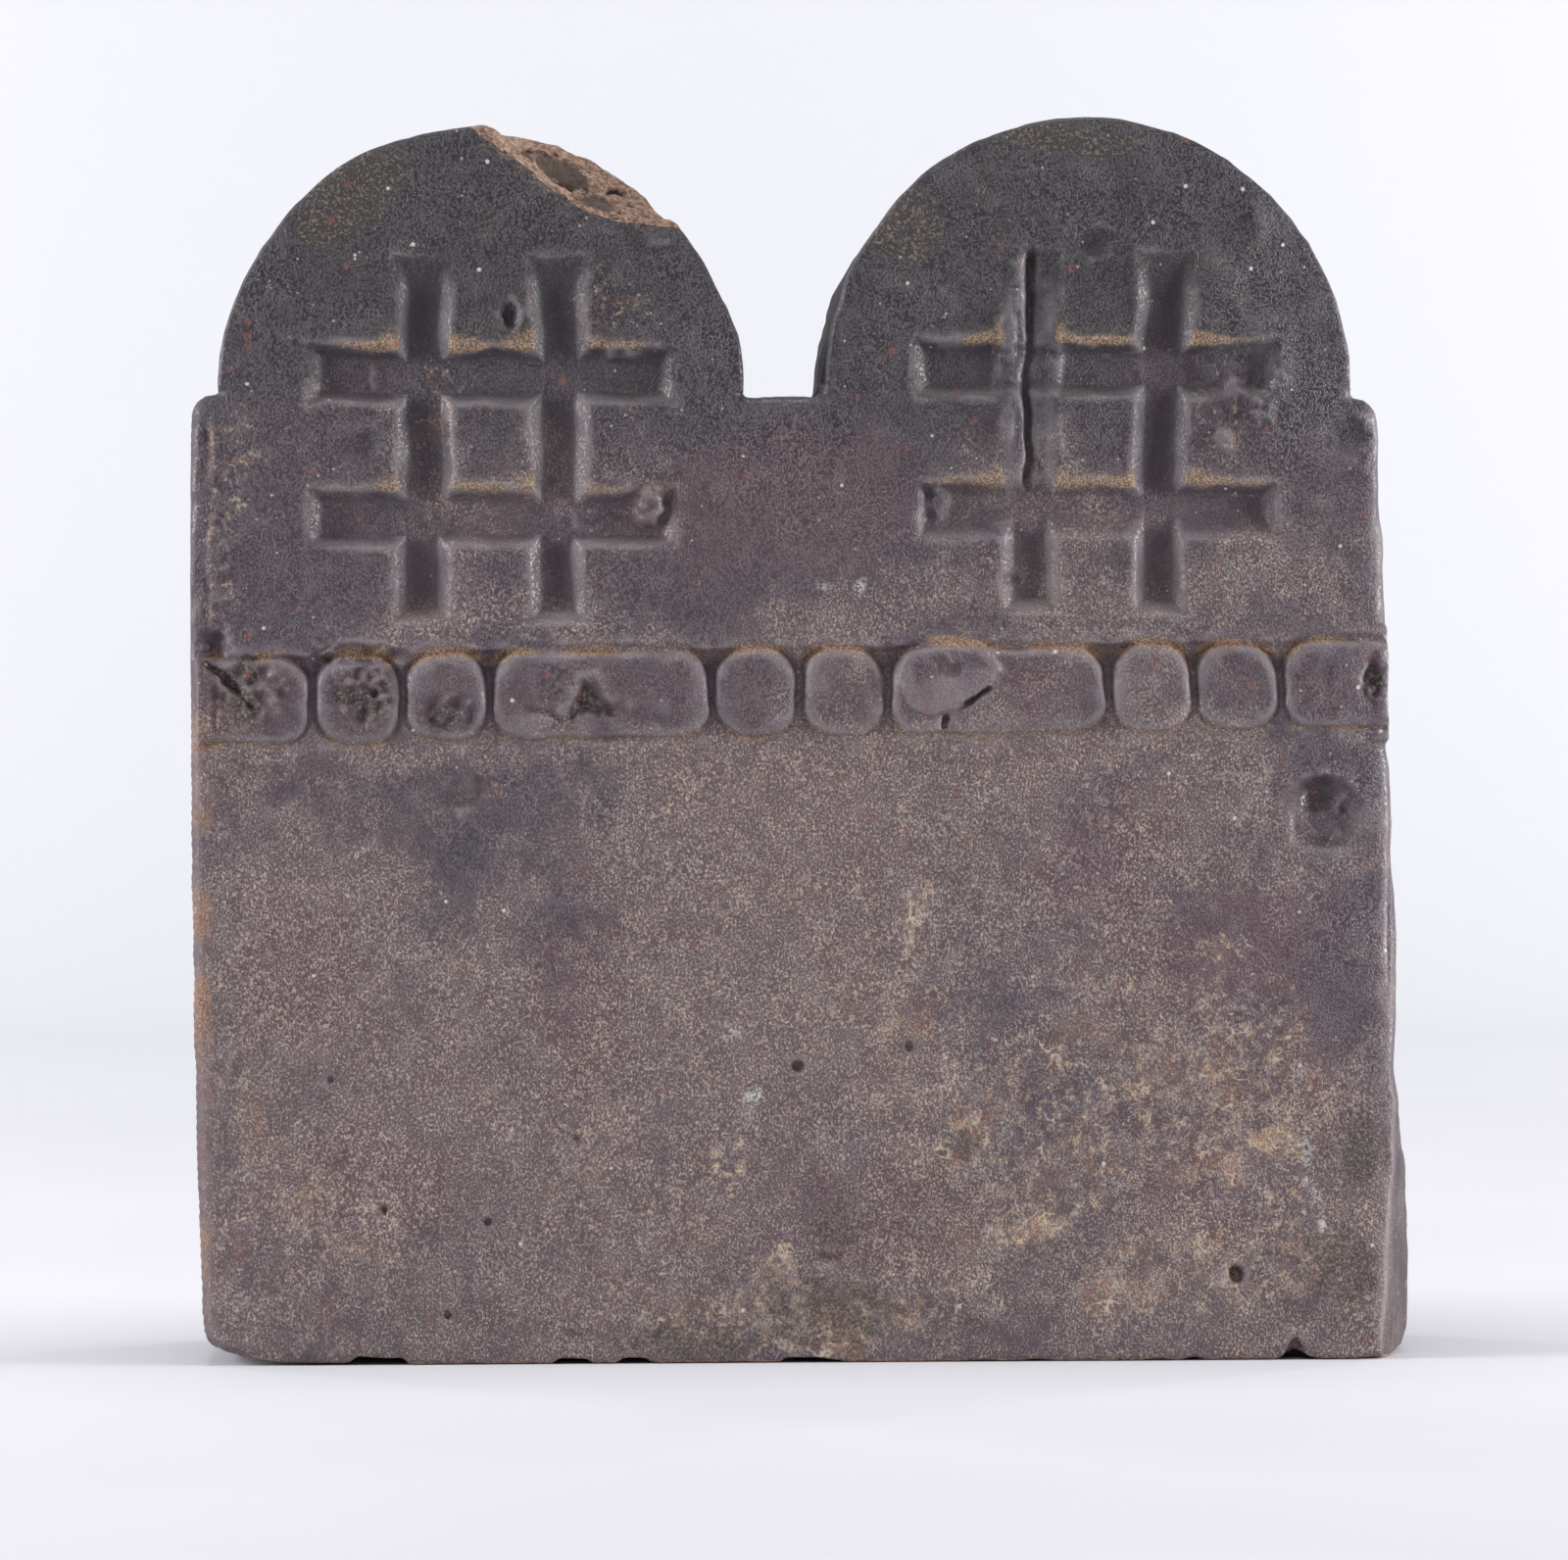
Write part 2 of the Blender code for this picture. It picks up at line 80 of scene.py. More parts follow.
# The pressed grooves: their sizes, then each one's middle and the tilt of the upright ones in degrees
GROOVE_HALF_WIDTH = 6.9
GROOVE_HALF_LENGTH = 46.0
GROOVE_WALL = 4.0
UPRIGHT_DEPTH = 2.7
LEVEL_DEPTH = 2.5
GROOVE_MOUTH = 0.6
LEFT_UPRIGHTS = ((-97.9, 235.4, 0.0), (-64.1, 235.4, 0.5))
LEFT_LEVELS = ((-81.0, 251.7), (-81.0, 215.3))
RIGHT_UPRIGHTS = ((56.7, 237.6, 0.0), (90.5, 237.6, 1.1))
RIGHT_LEVELS = ((73.6, 253.9), (73.6, 217.5))

# The rolled band
BAND_Z = 171.0
BAND_X = -5.3
BAND_TILT = math.radians(0.85)

BEAD_HALF_HEIGHT = 11.0
BEAD_CORNER = 8.0
BEAD_GAP = 1.4
BEAD_ROUNDING = 3.3

# How far the worn beads stand above the face
BEAD_HEIGHT = 1.8

# The gaps between the beads: place along the face, and how deep against the deepest
BEAD_GAPS = ((-126.2, 0.8), (-103.4, 0.5), (-81.4, 1.0), (-24.3, 0.8), (-2.3, 0.7), (19.7, 0.9), (76.8, 1.0),
             (98.8, 0.8), (120.8, 0.7))


def srgb(red, green, blue):
    """A colour as a paint chart gives it, from 0 to 255, made linear."""
    linear = []
    for value in (red, green, blue):
        share = value / 255
        linear.append(share / 12.92 if share <= 0.04045 else ((share + 0.055) / 1.055) ** 2.4)
    return (*linear, 1.0)


# Small tools for numbers that run over the whole skin

def ramp(low, high, values):
    """0 below low, 1 above high and smooth between them."""
    share = np.clip((values - low) / (high - low), 0.0, 1.0)
    return share * share * (3 - 2 * share)


def hump(distance, width):
    """1 at no distance, fading over the width."""
    return np.exp(-((distance / width) ** 2))


# The noise's table of random values, and the turn that keeps its grid from lining up with the marker
LATTICE = 48
LATTICE_TURN = np.array(((0.80, 0.36, -0.48), (-0.60, 0.48, -0.64), (0.00, 0.80, 0.60)))


def noise(points, size, seed):
    """Smooth value noise from -1 to 1 with lumps about as long as size."""
    values = np.random.default_rng(seed).uniform(-1, 1, (LATTICE, LATTICE, LATTICE))
    places = points @ LATTICE_TURN / size + seed * 7.31
    cells = np.floor(places).astype(int)
    part = places - cells
    part = part * part * (3 - 2 * part)
    total = np.zeros(len(points))
    for corner in itertools.product((0, 1), repeat=3):
        weight = np.ones(len(points))
        for axis, step in enumerate(corner):
            weight *= part[:, axis] if step else 1 - part[:, axis]
        x, y, z = ((cells[:, axis] + corner[axis]) % LATTICE for axis in range(3))
        total += weight * values[x, y, z]
    return total


def rough(points, size, seed, octaves=3):
    """Noise with smaller and smaller lumps on it."""
    total = np.zeros(len(points))
    for octave in range(octaves):
        total += noise(points, size / 2 ** octave, seed + octave) / 2 ** octave
    return total


def path_distance(x, z, path):
    """Distance to a bent line on the face."""
    nearest = np.full(len(x), 1e6)
    for (ax, az), (bx, bz) in zip(path, path[1:]):
        along_x = bx - ax
        along_z = bz - az
        share = ((x - ax) * along_x + (z - az) * along_z) / (along_x ** 2 + along_z ** 2)
        share = np.clip(share, 0, 1)
        nearest = np.minimum(nearest, np.hypot(x - ax - share * along_x, z - az - share * along_z))
    return nearest


def depth_inside(x, z, corners):
    """How far inside a drawn shape each point lies, below 0 outside it."""
    inside = np.zeros(len(x), bool)
    closed = list(corners) + [corners[0]]
    for (ax, az), (bx, bz) in zip(closed, closed[1:]):
        if az != bz:
            crosses = (az > z) != (bz > z)
            inside ^= crosses & (x < (bx - ax) * (z - az) / (bz - az) + ax)
    distance = path_distance(x, z, closed)
    return np.where(inside, distance, -distance)


def oval_distance(x, z, middle, half_width, half_height, turn=0.0):
    """0 in the middle of an oval, 1 on its edge."""
    angle = math.radians(turn)
    across = (x - middle[0]) * math.cos(angle) + (z - middle[1]) * math.sin(angle)
    upwards = (z - middle[1]) * math.cos(angle) - (x - middle[0]) * math.sin(angle)
    return np.hypot(across / half_width, upwards / half_height)


def ovals(x, z, table):
    """For each row of a table: the amount it names and the distance from its oval."""
    for middle_x, middle_z, half_width, half_height, amount, *turn in table:
        yield amount, oval_distance(x, z, (middle_x, middle_z), half_width, half_height, *turn)


def groove_distance(x, z, middle, upright, tilt=0.0):
    """Distance outside the mouth of one groove, below 0 inside it."""
    angle = math.radians(tilt)
    across = (x - middle[0]) * math.cos(angle) - (z - middle[1]) * math.sin(angle)
    upwards = (z - middle[1]) * math.cos(angle) + (x - middle[0]) * math.sin(angle)
    if not upright:
        across, upwards = upwards, across
    beyond_side = np.abs(across) - GROOVE_HALF_WIDTH
    beyond_end = np.abs(upwards) - GROOVE_HALF_LENGTH
    outside = np.hypot(np.maximum(beyond_side, 0), np.maximum(beyond_end, 0))
    return outside + np.minimum(np.maximum(beyond_side, beyond_end), 0)


def groove_distances(x, z):
    """Distance to the nearest upright and to the nearest level groove."""
    uprights = [groove_distance(x, z, middle, True, tilt) for *middle, tilt in LEFT_UPRIGHTS + RIGHT_UPRIGHTS]
    levels = [groove_distance(x, z, middle, False) for middle in LEFT_LEVELS + RIGHT_LEVELS]
    return np.minimum.reduce(uprights), np.minimum.reduce(levels)


def above_levels(x, z, spare):
    """For each level groove: height over its upper edge, and 1 along its length with some to spare."""
    for middle_x, middle_z in LEFT_LEVELS + RIGHT_LEVELS:
        reach = ramp(GROOVE_HALF_LENGTH + spare, GROOVE_HALF_LENGTH - 8, np.abs(x - middle_x))
        yield z - middle_z - GROOVE_HALF_WIDTH, reach


def along_band(x, z):
    """Place along the rolled band, as x where the band's middle line is."""
    return (x - BAND_X) * math.cos(BAND_TILT) + (z - BAND_Z) * math.sin(BAND_TILT) + BAND_X


def above_band(x, z):
    """Height above the rolled band's middle line."""
    return (z - BAND_Z) * math.cos(BAND_TILT) - (x - BAND_X) * math.sin(BAND_TILT)


def bead_distance(x, z):
    """Distance outside the nearest bead or bar, below 0 on it."""
    along = along_band(x, z)
    places = [gap for gap, _ in BEAD_GAPS]
    starts = [-SIDE_X - BEAD_CORNER] + [gap + BEAD_GAP / 2 for gap in places]
    ends = [gap - BEAD_GAP / 2 for gap in places] + [SIDE_X + BEAD_CORNER]
    beyond_top = np.abs(above_band(x, z)) - BEAD_HALF_HEIGHT + BEAD_CORNER
    nearest = np.full(len(x), 1e6)
    for start, end in zip(starts, ends):
        beyond_end = np.abs(along - (start + end) / 2) - (end - start) / 2 + BEAD_CORNER
        outside = np.hypot(np.maximum(beyond_end, 0), np.maximum(beyond_top, 0))
        inside = np.minimum(np.maximum(beyond_end, beyond_top), 0)
        nearest = np.minimum(nearest, outside + inside - BEAD_CORNER)
    return nearest


def gap_depth(x, z):
    """How deep the nearest gap between two beads is, 0 away from all of them."""
    along = along_band(x, z)
    deepest = np.zeros(len(x))
    for gap, share in BEAD_GAPS:
        deepest = np.maximum(deepest, share * ramp(7.5, 4.0, np.abs(along - gap)))
    return deepest


def on_face(points):
    return points[:, 0], points[:, 2]


def lobe_inside(x, z, lobe):
    return lobe[2] - np.hypot(x - lobe[0], z - lobe[1])


def inside_rim(x, z):
    """Roughly how far inside the outline a place on the face is."""
    slab = np.minimum.reduce((x + SIDE_X, SIDE_X - x, z, SHOULDER_Z - z))
    return np.maximum.reduce((slab, lobe_inside(x, z, LEFT_LOBE), lobe_inside(x, z, RIGHT_LOBE)))


# The marker's skin

def select_only(thing):
    bpy.ops.object.select_all(action="DESELECT")
    thing.select_set(True)
    bpy.context.view_layer.objects.active = thing


def apply_all(thing):
    select_only(thing)
    for modifier in list(thing.modifiers):
        bpy.ops.object.modifier_apply(modifier=modifier.name)


def fine_skin():
    """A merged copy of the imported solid, cut into small even faces."""
    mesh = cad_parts["grave_marker"].data.copy()
    mesh.name = "marker"
    mesh.materials.clear()
    marker = bpy.data.objects.new("marker", mesh)
    bpy.context.scene.collection.objects.link(marker)
    select_only(marker)
    bpy.ops.object.mode_set(mode="EDIT")
    bpy.ops.mesh.select_all(action="SELECT")
    bpy.ops.mesh.remove_doubles(threshold=0.01 * MM)
    bpy.ops.object.mode_set(mode="OBJECT")
    remesh = marker.modifiers.new("fine skin", "REMESH")
    remesh.mode = "VOXEL"
    remesh.voxel_size = SKIN_VOXEL
    apply_all(marker)
    return marker


def thin_skin(marker):
    """Fewer triangles, kept where the surface turns."""
    marker.data.calc_loop_triangles()
    triangles = len(marker.data.loop_triangles)
    if triangles > MOST_TRIANGLES:
        decimate = marker.modifiers.new("thin skin", "DECIMATE")
        decimate.ratio = MOST_TRIANGLES / triangles
        decimate.use_collapse_triangulate = True
        apply_all(marker)


def read_skin(marker):
    mesh = marker.data
    points = np.zeros(len(mesh.vertices) * 3)
    mesh.vertices.foreach_get("co", points)
    normals = np.zeros(len(mesh.vertices) * 3)
    mesh.vertex_normals.foreach_get("vector", normals)
    return points.reshape(-1, 3) / MM, normals.reshape(-1, 3)


def write_skin(marker, points):
    """Put the points back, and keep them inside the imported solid's box."""
    low = np.array(cad_low) / MM
    high = np.array(cad_high) / MM
    kept = np.clip(points, low, high) * MM
    marker.data.vertices.foreach_set("co", kept.ravel())
    marker.data.update()


# What was done to the soft clay, each as millimetres outwards from the face

# Dents and pits; the rim is raised on the right side of the dent
DENTS = (
    # x, z, half width, half height, depth, height of the rim
    (-87.4, 145.3, 6, 5, 1.1, 0),
    (-76.4, 266.9, 2.2, 3.4, 1.5, 0.6),
    (109.9, 22.2, 1.7, 2.4, 2.8, 0.5),
    (-2.6, 75.7, 1.9, 1.5, 1.8, 0.1),
    (25.8, 80.7, 1.4, 1.4, 1.4, 0),
    (-108, 39.4, 1.2, 1.2, 1.6, 0),
    (-81.9, 36.3, 1.3, 1.1, 1.6, 0),
    (-121.7, 72.6, 1.1, 1.1, 1.1, 0),
    (-91.9, 12.5, 1.3, 1.1, 1.4, 0),
    (4.4, 26.9, 4, 1.8, 1, 0),
    (-59.3, 57.4, 1, 1, 0.9, 0),
    (72.8, 285.7, 4.6, 4, 0.9, 0.2),
    (51.4, 200.4, 2.4, 2, 0.8, 0.2),
    (-114, 233.6, 6, 5, 0.7, 0.2),
    (138.5, 235.8, 6, 6, 0.8, 0.3),
    (-150.9, 182.1, 4, 4.5, 2.6, 0),
    (62, 230, 5, 4, 0.6, 0),
    (-71, 124, 4.5, 3.5, 0.6, 0),
    (-133, 146, 5, 6, 0.5, 0),
    (131, 145, 4.6, 5.6, 1.9, 0),
)

# The slot left of the right grid's first upright: its line, its steep left and slack right wall, the ridge
# beside it, and where its closed part begins and ends
SLOT_X = 56.3
SLOT_LEFT = 54.6
SLOT_RIGHT = 64.0
SLOT_RIDGE = 52.8
SLOT_FOOT = 224.0
SLOT_TOP = 286.0

# Drawn lines on the band, as x and z: the flap folded over the second long bar, with its crack and slit
FLAP_ON_BAR = ((22.5, 173.0), (24.0, 181.0), (31.0, 184.5), (40.0, 185.0), (47.0, 182.5), (49.0, 177.0),
               (46.0, 172.5), (41.0, 169.5), (36.0, 166.8), (30.0, 166.0), (26.0, 167.5))
FLAP_CRACK = ((31.0, 165.9), (36.5, 166.4), (41.0, 168.8), (45.6, 172.2))
FLAP_SLOT = ((34.9, 164.6), (34.5, 162.4))

# The scar on the first long bar, its raised rim and the crack beside it
BAR_SCAR = ((-57.5, 174.0), (-54.0, 171.0), (-48.5, 166.0), (-50.0, 165.0), (-56.0, 166.0), (-59.0, 165.0),
            (-60.5, 163.5), (-62.0, 165.5), (-60.0, 169.0))
BAR_SCAR_RIM = ((-62.5, 167.0), (-58.5, 174.5), (-54.5, 175.2), (-50.0, 170.0), (-46.0, 168.0))
BAR_CRACK = ((-71.5, 166.8), (-66.0, 165.9), (-63.3, 164.0))

# The gash across the first bead, and the tongue of clay below it
TORN_END = ((-153.0, 178.0), (-148.5, 174.8), (-144.5, 170.6), (-141.0, 166.8))
TORN_TONGUE = ((-151.0, 172.0), (-146.0, 174.5), (-141.5, 171.0), (-139.5, 164.0), (-144.0, 159.0),
               (-152.0, 161.0))

# Hollows torn into the beads
BEAD_SCARS = (
    # x, z, half width, half height, depth
    (-114.6, 180.5, 11, 2.6, 1.8),
    (-112.6, 168.4, 5.5, 5.5, 0.7),
    (-118.5, 170, 4, 3, 0.5),
    (-92.5, 165, 7, 4, 0.9),
    (-142, 176.5, 5.5, 4, 1),
    (144.5, 174.5, 3.2, 5.8, 1.4),
)

# Crumbs and ridges of clay stuck on the face
CLAY_CRUMBS = (
    # x, z, half width, half height, height
    (131.8, 139.5, 9, 9, 1.6),
    (-47.3, 257.4, 5.6, 2.6, 1.6),
    (-40.4, 218.2, 4.4, 5.4, 2.4),
    (-38.5, 286.8, 5, 3.4, 0.9),
    (-60.5, 167.8, 2, 1.2, 0.5),
    (50.8, 262, 2.4, 8, 1.1),
    (50.6, 240, 2, 6, 0.8),
    (33.5, 219.5, 3.4, 4.6, 1.2),
    (-111, 251, 1.6, 4, 0.6),
    (110, 250, 4, 3, 0.9),
    (116, 243, 3.5, 4.5, 0.9),
    (106.5, 236, 3, 4, 0.8),
    (121.5, 251.5, 3, 3, 0.6),
)

# Raised rings left by drops and by the thumb
RINGS = (
    # x, z, radius, height
    (-114.7, 135.3, 4.6, 0.35),
    (37.8, 52, 4.6, 0.25),
    (131.5, 140.5, 9.8, 0.55),
)

# Spots where the torn clay was left wrinkled
WRINKLED_SPOTS = (
    # x, z, half width, half height, amount
    (-112.8, 170.5, 8, 9, 1.3),
    (-92, 166.5, 8, 5, 0.8),
    (-142, 171, 12, 9, 1.1),
    (-54.5, 168.5, 6.5, 5, 0.9),
    (34, 177.5, 8, 4.5, 0.6),
    (-40.4, 218.2, 5, 6, 1),
    (144.5, 174.5, 4, 6.5, 0.9),
    (115, 246, 10, 9, 0.6),
    (-150, 205, 3, 30, 0.7),
)


def shifted(points):
    """Places on the face moved a little sideways, so that no pressed edge is ruled."""
    flat = points * (1.0, 0.0, 1.0)
    x = points[:, 0] + 0.80 * noise(flat, 17.0, 101) + 0.40 * noise(flat, 6.5, 102)
    z = points[:, 2] + 0.80 * noise(flat, 17.0, 111) + 0.40 * noise(flat, 6.5, 112)
    return x, z


def groove_depth(points, x, z):
    """Millimetres that the pressed grids lie below the face."""
    uprights, levels = groove_distances(x, z)
    pressed = 1 + 0.16 * noise(points, 14.0, 24)
    level_part = LEVEL_DEPTH * ramp(GROOVE_MOUTH, GROOVE_MOUTH - GROOVE_WALL, levels)
    below = RIGHT_LEVELS[1][1] - z
    gentle = LEVEL_DEPTH * (ramp(8.6, 0.0, below) + ramp(12.0, 16.0, below) + ramp(0.0, 3.0, -below))
    level_part = np.where(x > NOTCH[1], np.minimum(level_part, gentle), level_part)
    worn_end = ramp(97.0, 106.0, x) * ramp(235.0, 242.0, z)
    level_part = level_part * (1 - worn_end * (0.60 + 0.35 * noise(points, 6.0, 25)))
    upright_part = UPRIGHT_DEPTH * ramp(GROOVE_MOUTH, GROOVE_MOUTH - GROOVE_WALL, uprights)
    top_end = np.where(x > NOTCH[1], RIGHT_UPRIGHTS[0][1], LEFT_UPRIGHTS[0][1]) + GROOVE_HALF_LENGTH
    upright_part = upright_part * (0.30 + 0.70 * ramp(0.0, 13.0, top_end - z))
    depth = np.maximum(upright_part, level_part) * pressed
    return closed_slot(points, x, z, depth)


def slot_waver(points):
    """How far the slot strays sideways from its line."""
    return 0.9 * noise(points * (0.0, 0.0, 1.0), 8.0, 33)


def closed_slot(points, x, z, depth):
    """The right grid's first upright, whose upper half is closed to a narrow ragged slot."""
    middle_x = RIGHT_UPRIGHTS[0][0]
    ragged = rough(points, 5.0, 31)
    x = x + slot_waver(points)
    closed = ramp(SLOT_FOOT - 3, SLOT_FOOT + 3, z) * ramp(SLOT_TOP, SLOT_TOP - 5, z)
    closed *= ramp(9.5, 7.5, np.abs(x - middle_x))
    crossing = ramp(GROOVE_HALF_WIDTH, GROOVE_HALF_WIDTH - 3, np.abs(z - RIGHT_LEVELS[0][1]))
    left_wall = ramp(SLOT_LEFT, SLOT_LEFT + 1.2, x + 0.5 * ragged)
    right_wall = np.clip((SLOT_RIGHT - x) / 7.6, 0, 1)
    slot = left_wall * (1.6 * hump(x - SLOT_X, 0.9) + 0.8 * right_wall)
    ridge = 0.7 * hump(x - SLOT_RIDGE, 1.8) * (0.7 + 0.8 * ragged) * closed
    return depth + (slot - depth) * closed * (1 - 0.5 * crossing) - ridge


def bead_height(x, z):
    """Millimetres that the beads stand above the face, and the line and crevices round them."""
    above = above_band(x, z)
    away = bead_distance(x, z)
    upper = ramp(1.0, 8.0, above)
    lower = ramp(-1.0, -7.0, above)
    gap = gap_depth(x, z)
    corner = gap * upper * ramp(12.6, 10.4, above)
    foot = -0.7 - 1.7 * corner + 0.6 * lower + 0.5 * upper
    filled = ramp(0.0, 1.5, away) * (1 - corner)
    inside = np.clip(-away, 0, BEAD_ROUNDING)
    rounded = np.sqrt(BEAD_ROUNDING ** 2 - (BEAD_ROUNDING - inside) ** 2) / BEAD_ROUNDING
    return np.where(away < 0, foot + (BEAD_HEIGHT - foot) * rounded, foot * (1 - filled))


def press_face(points):
    """Press the grids and roll the band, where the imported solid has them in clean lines."""
    x, z = shifted(points)
    uprights, levels = groove_distances(x, z)
    pressed = ramp(9.5, 8.0, np.minimum(uprights, levels))
    rolled = ramp(16.0, 14.0, np.abs(above_band(x, z)))
    share = np.maximum(pressed, rolled) * front_share(points)
    share *= ramp(1.5, 4.0, inside_rim(*on_face(points)))
    wanted = FACE_Y + groove_depth(points * (1.0, 0.0, 1.0), x, z) - bead_height(x, z) * rolled
    moved = points.copy()
    moved[:, 1] += (wanted - points[:, 1]) * share
    return moved


def grid_lips(points, x, z):
    """Clay pushed up beside the grooves, most of all above the level ones."""
    uprights, levels = groove_distances(x, z)
    nearest = np.minimum(uprights, levels)
    uneven = 0.75 + 0.35 * noise(points, 11.0, 21) + 0.25 * noise(points, 4.5, 22)
    lips = 0.30 * hump(nearest - 1.0, 1.3) * uneven
    above = sum(hump(over - 1.2, 1.9) * reach for over, reach in above_levels(x, z, 2))
    return lips + 0.55 * above * uneven * ramp(-1.0, 1.0, nearest)


def bead_wear(points, x, z):
    """What happened to the beads and bars after they were rolled."""
    ragged = rough(points, 4.0, 41)
    on_band = ramp(13.5, 10.0, np.abs(above_band(x, z)))
    worked = on_band * (0.35 * noise(points, 12.0, 42) + 0.22 * noise(points, 4.5, 43))
    for depth, away in ovals(x, z, BEAD_SCARS):
        worked -= depth * ramp(1.15, 0.75, away + 0.35 * ragged) * (0.8 + 0.8 * ragged)

    flap = depth_inside(x, z, FLAP_ON_BAR) + 0.5 * ragged
    worked += 1.5 * ramp(-0.6, 0.9, flap) - 0.9 * ramp(1.6, 5.5, flap)
    crack = path_distance(x, z, FLAP_CRACK) + 0.35 * ragged
    worked -= 1.7 * ramp(37.5, 41.5, x) * ramp(0.85, 0.2, crack)
    worked -= 1.8 * ramp(1.0, 0.3, path_distance(x, z, FLAP_SLOT) + 0.2 * ragged)

    scar = depth_inside(x, z, BAR_SCAR) + 0.5 * ragged
    worked -= 1.1 * ramp(-0.5, 0.8, scar) * (0.85 + 0.5 * ragged)
    worked += 0.7 * ramp(3.0, 0.5, path_distance(x, z, BAR_SCAR_RIM)) * ramp(0.3, -0.6, scar)
    worked -= 0.6 * ramp(1.2, 0.4, path_distance(x, z, BAR_CRACK) + 0.3 * ragged)

    torn = path_distance(x, z, TORN_END) + 1.2 * ramp(-149.0, -141.0, x)
    worked -= 2.2 * ramp(1.8, 0.3, torn + 0.5 * ragged)
    tongue = depth_inside(x, z, TORN_TONGUE)
    worked += 0.6 * ramp(0.0, 2.5, tongue) + 0.5 * ramp(0.0, 2.0, tongue) * ragged
    return worked


def band_edges(points, x, z):
    """Clay pushed up over the beads' tops and down below their feet."""
    above = above_band(x, z)
    away = bead_distance(x, z)
    uneven = 1 + 0.5 * noise(points, 8.0, 51)
    top = 0.40 * hump(away - 2.6, 1.5) * ramp(1.0, 8.0, above)
    bottom = 0.60 * ramp(-1.0, 1.4, away) * ramp(9.0, 2.0, away) * ramp(-2.0, -8.0, above)
    return (top + bottom) * uneven


def wrinkles(points, x, z):
    """Folds of torn clay, each spot fading out at its edge."""
    folds = 0.45 - np.abs(noise(points, 2.8, 66)) * 1.3 + 0.45 * noise(points, 1.4, 67)
    total = np.zeros(len(x))
    for amount, away in ovals(x, z, WRINKLED_SPOTS):
        total += amount * folds * ramp(1.15, 0.55, away)
    return total


def dents_and_crumbs(points, x, z):
    total = np.zeros(len(x))
    ragged = rough(points, 3.0, 61, 2)
    for middle_x, middle_z, half_width, half_height, depth, rim in DENTS:
        away = oval_distance(x, z, (middle_x, middle_z), half_width, half_height) + 0.30 * ragged
        total -= depth * ramp(1.15, 0.25, away)
        total += rim * hump(away - 1.25, 0.30) * ramp(-0.5, 1.0, (x - middle_x) / half_width)
    for height, away in ovals(x, z, CLAY_CRUMBS):
        total += height * ramp(1.15, 0.45, away + 0.22 * ragged)
    for middle_x, middle_z, radius, height in RINGS:
        away = np.hypot(x - middle_x, z - middle_z)
        total += height * hump(away - radius, 1.0 + 0.1 * radius) * (1 + 0.8 * ragged)
    return total


# The lines on the face along which the left border tore and the right one was dragged
LEFT_TEAR_X = -152.2
RIGHT_DRAG_X = 148.8


def left_border(points, x, z):
    """The rough strip where the face's skin tore off along the left side."""
    line = LEFT_TEAR_X + 0.7 * noise(points, 14.0, 71)
    reach = ramp(179.0, 184.0, z) * ramp(243.0, 238.0, z)
    low_reach = ramp(158.0, 120.0, z) * 0.35
    torn = ramp(0.5, -0.5, x - line) * (reach + low_reach)
    return torn * (-0.8 + 0.6 * rough(points, 4.0, 72))


def right_border(points, x, z):
    """The dragged strip along the right side."""
    line = RIGHT_DRAG_X + 0.5 * noise(points, 20.0, 81)
    reach = ramp(92.0, 104.0, z) * ramp(166.0, 156.0, z)
    drag = 0.25 * np.sin(x * 4.2 + 2.0 * noise(points, 30.0, 82))
    return ramp(-0.4, 0.5, x - line) * reach * (-0.6 + drag)


def broad_waves(points):
    """The hand-beaten unevenness of the whole face."""
    waves = 0.45 * noise(points, 48.0, 91) + 0.42 * noise(points, 19.0, 92)
    draped = ramp(95.0, 115.0, points[:, 0]) * ramp(225.0, 245.0, points[:, 2])
    waves += 1.15 * draped * noise(points * (1.0, 1.0, 0.6), 11.0, 95)
    return waves + 0.32 * noise(points, 8.5, 93) + 0.14 * noise(points, 3.8, 94)


def face_relief(points):
    """Millimetres outwards from the face at each point's place."""
    flat = points * (1.0, 0.0, 1.0)
    relief = broad_waves(flat)
    x, z = shifted(points)
    relief += grid_lips(flat, x, z)
    relief += band_edges(flat, x, z)
    x, z = on_face(points)
    relief += bead_wear(flat, x, z)
    relief += wrinkles(flat, x, z)
    relief += dents_and_crumbs(flat, x, z)
    relief += left_border(flat, x, z)
    relief += right_border(flat, x, z)
    return relief


def front_share(points):
    """1 on the face and in its grooves, fading round the rim."""
    return ramp(FACE_Y + 9.0, FACE_Y + 4.5, points[:, 1])


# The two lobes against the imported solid: angle from the top, millimetres outwards
LEFT_LOBE_TRUE = ((-90, 0.4), (-78, 0.6), (-66, 0.1), (-54, -0.4), (-42, 0.3), (-30, 0.9), (-18, 0.6),
                  (-6, 0.4), (3, 0.8), (10, 1.4), (18, 1.5), (30, 0.5), (38, 0.2), (43, -1.2), (54, -1.2),
                  (66, -1.2), (78, 0.2), (90, 0.2))
RIGHT_LOBE_TRUE = ((-90, -1.4), (-84, -1.4), (-72, -1.8), (-66, -0.8), (-54, -1.4), (-36, 0.0), (-18, -0.2),
                   (0, 0.2), (12, 0.1), (24, 0.1), (36, -0.5), (50, -0.4), (60, -0.2), (78, -0.6), (90, -0.6))

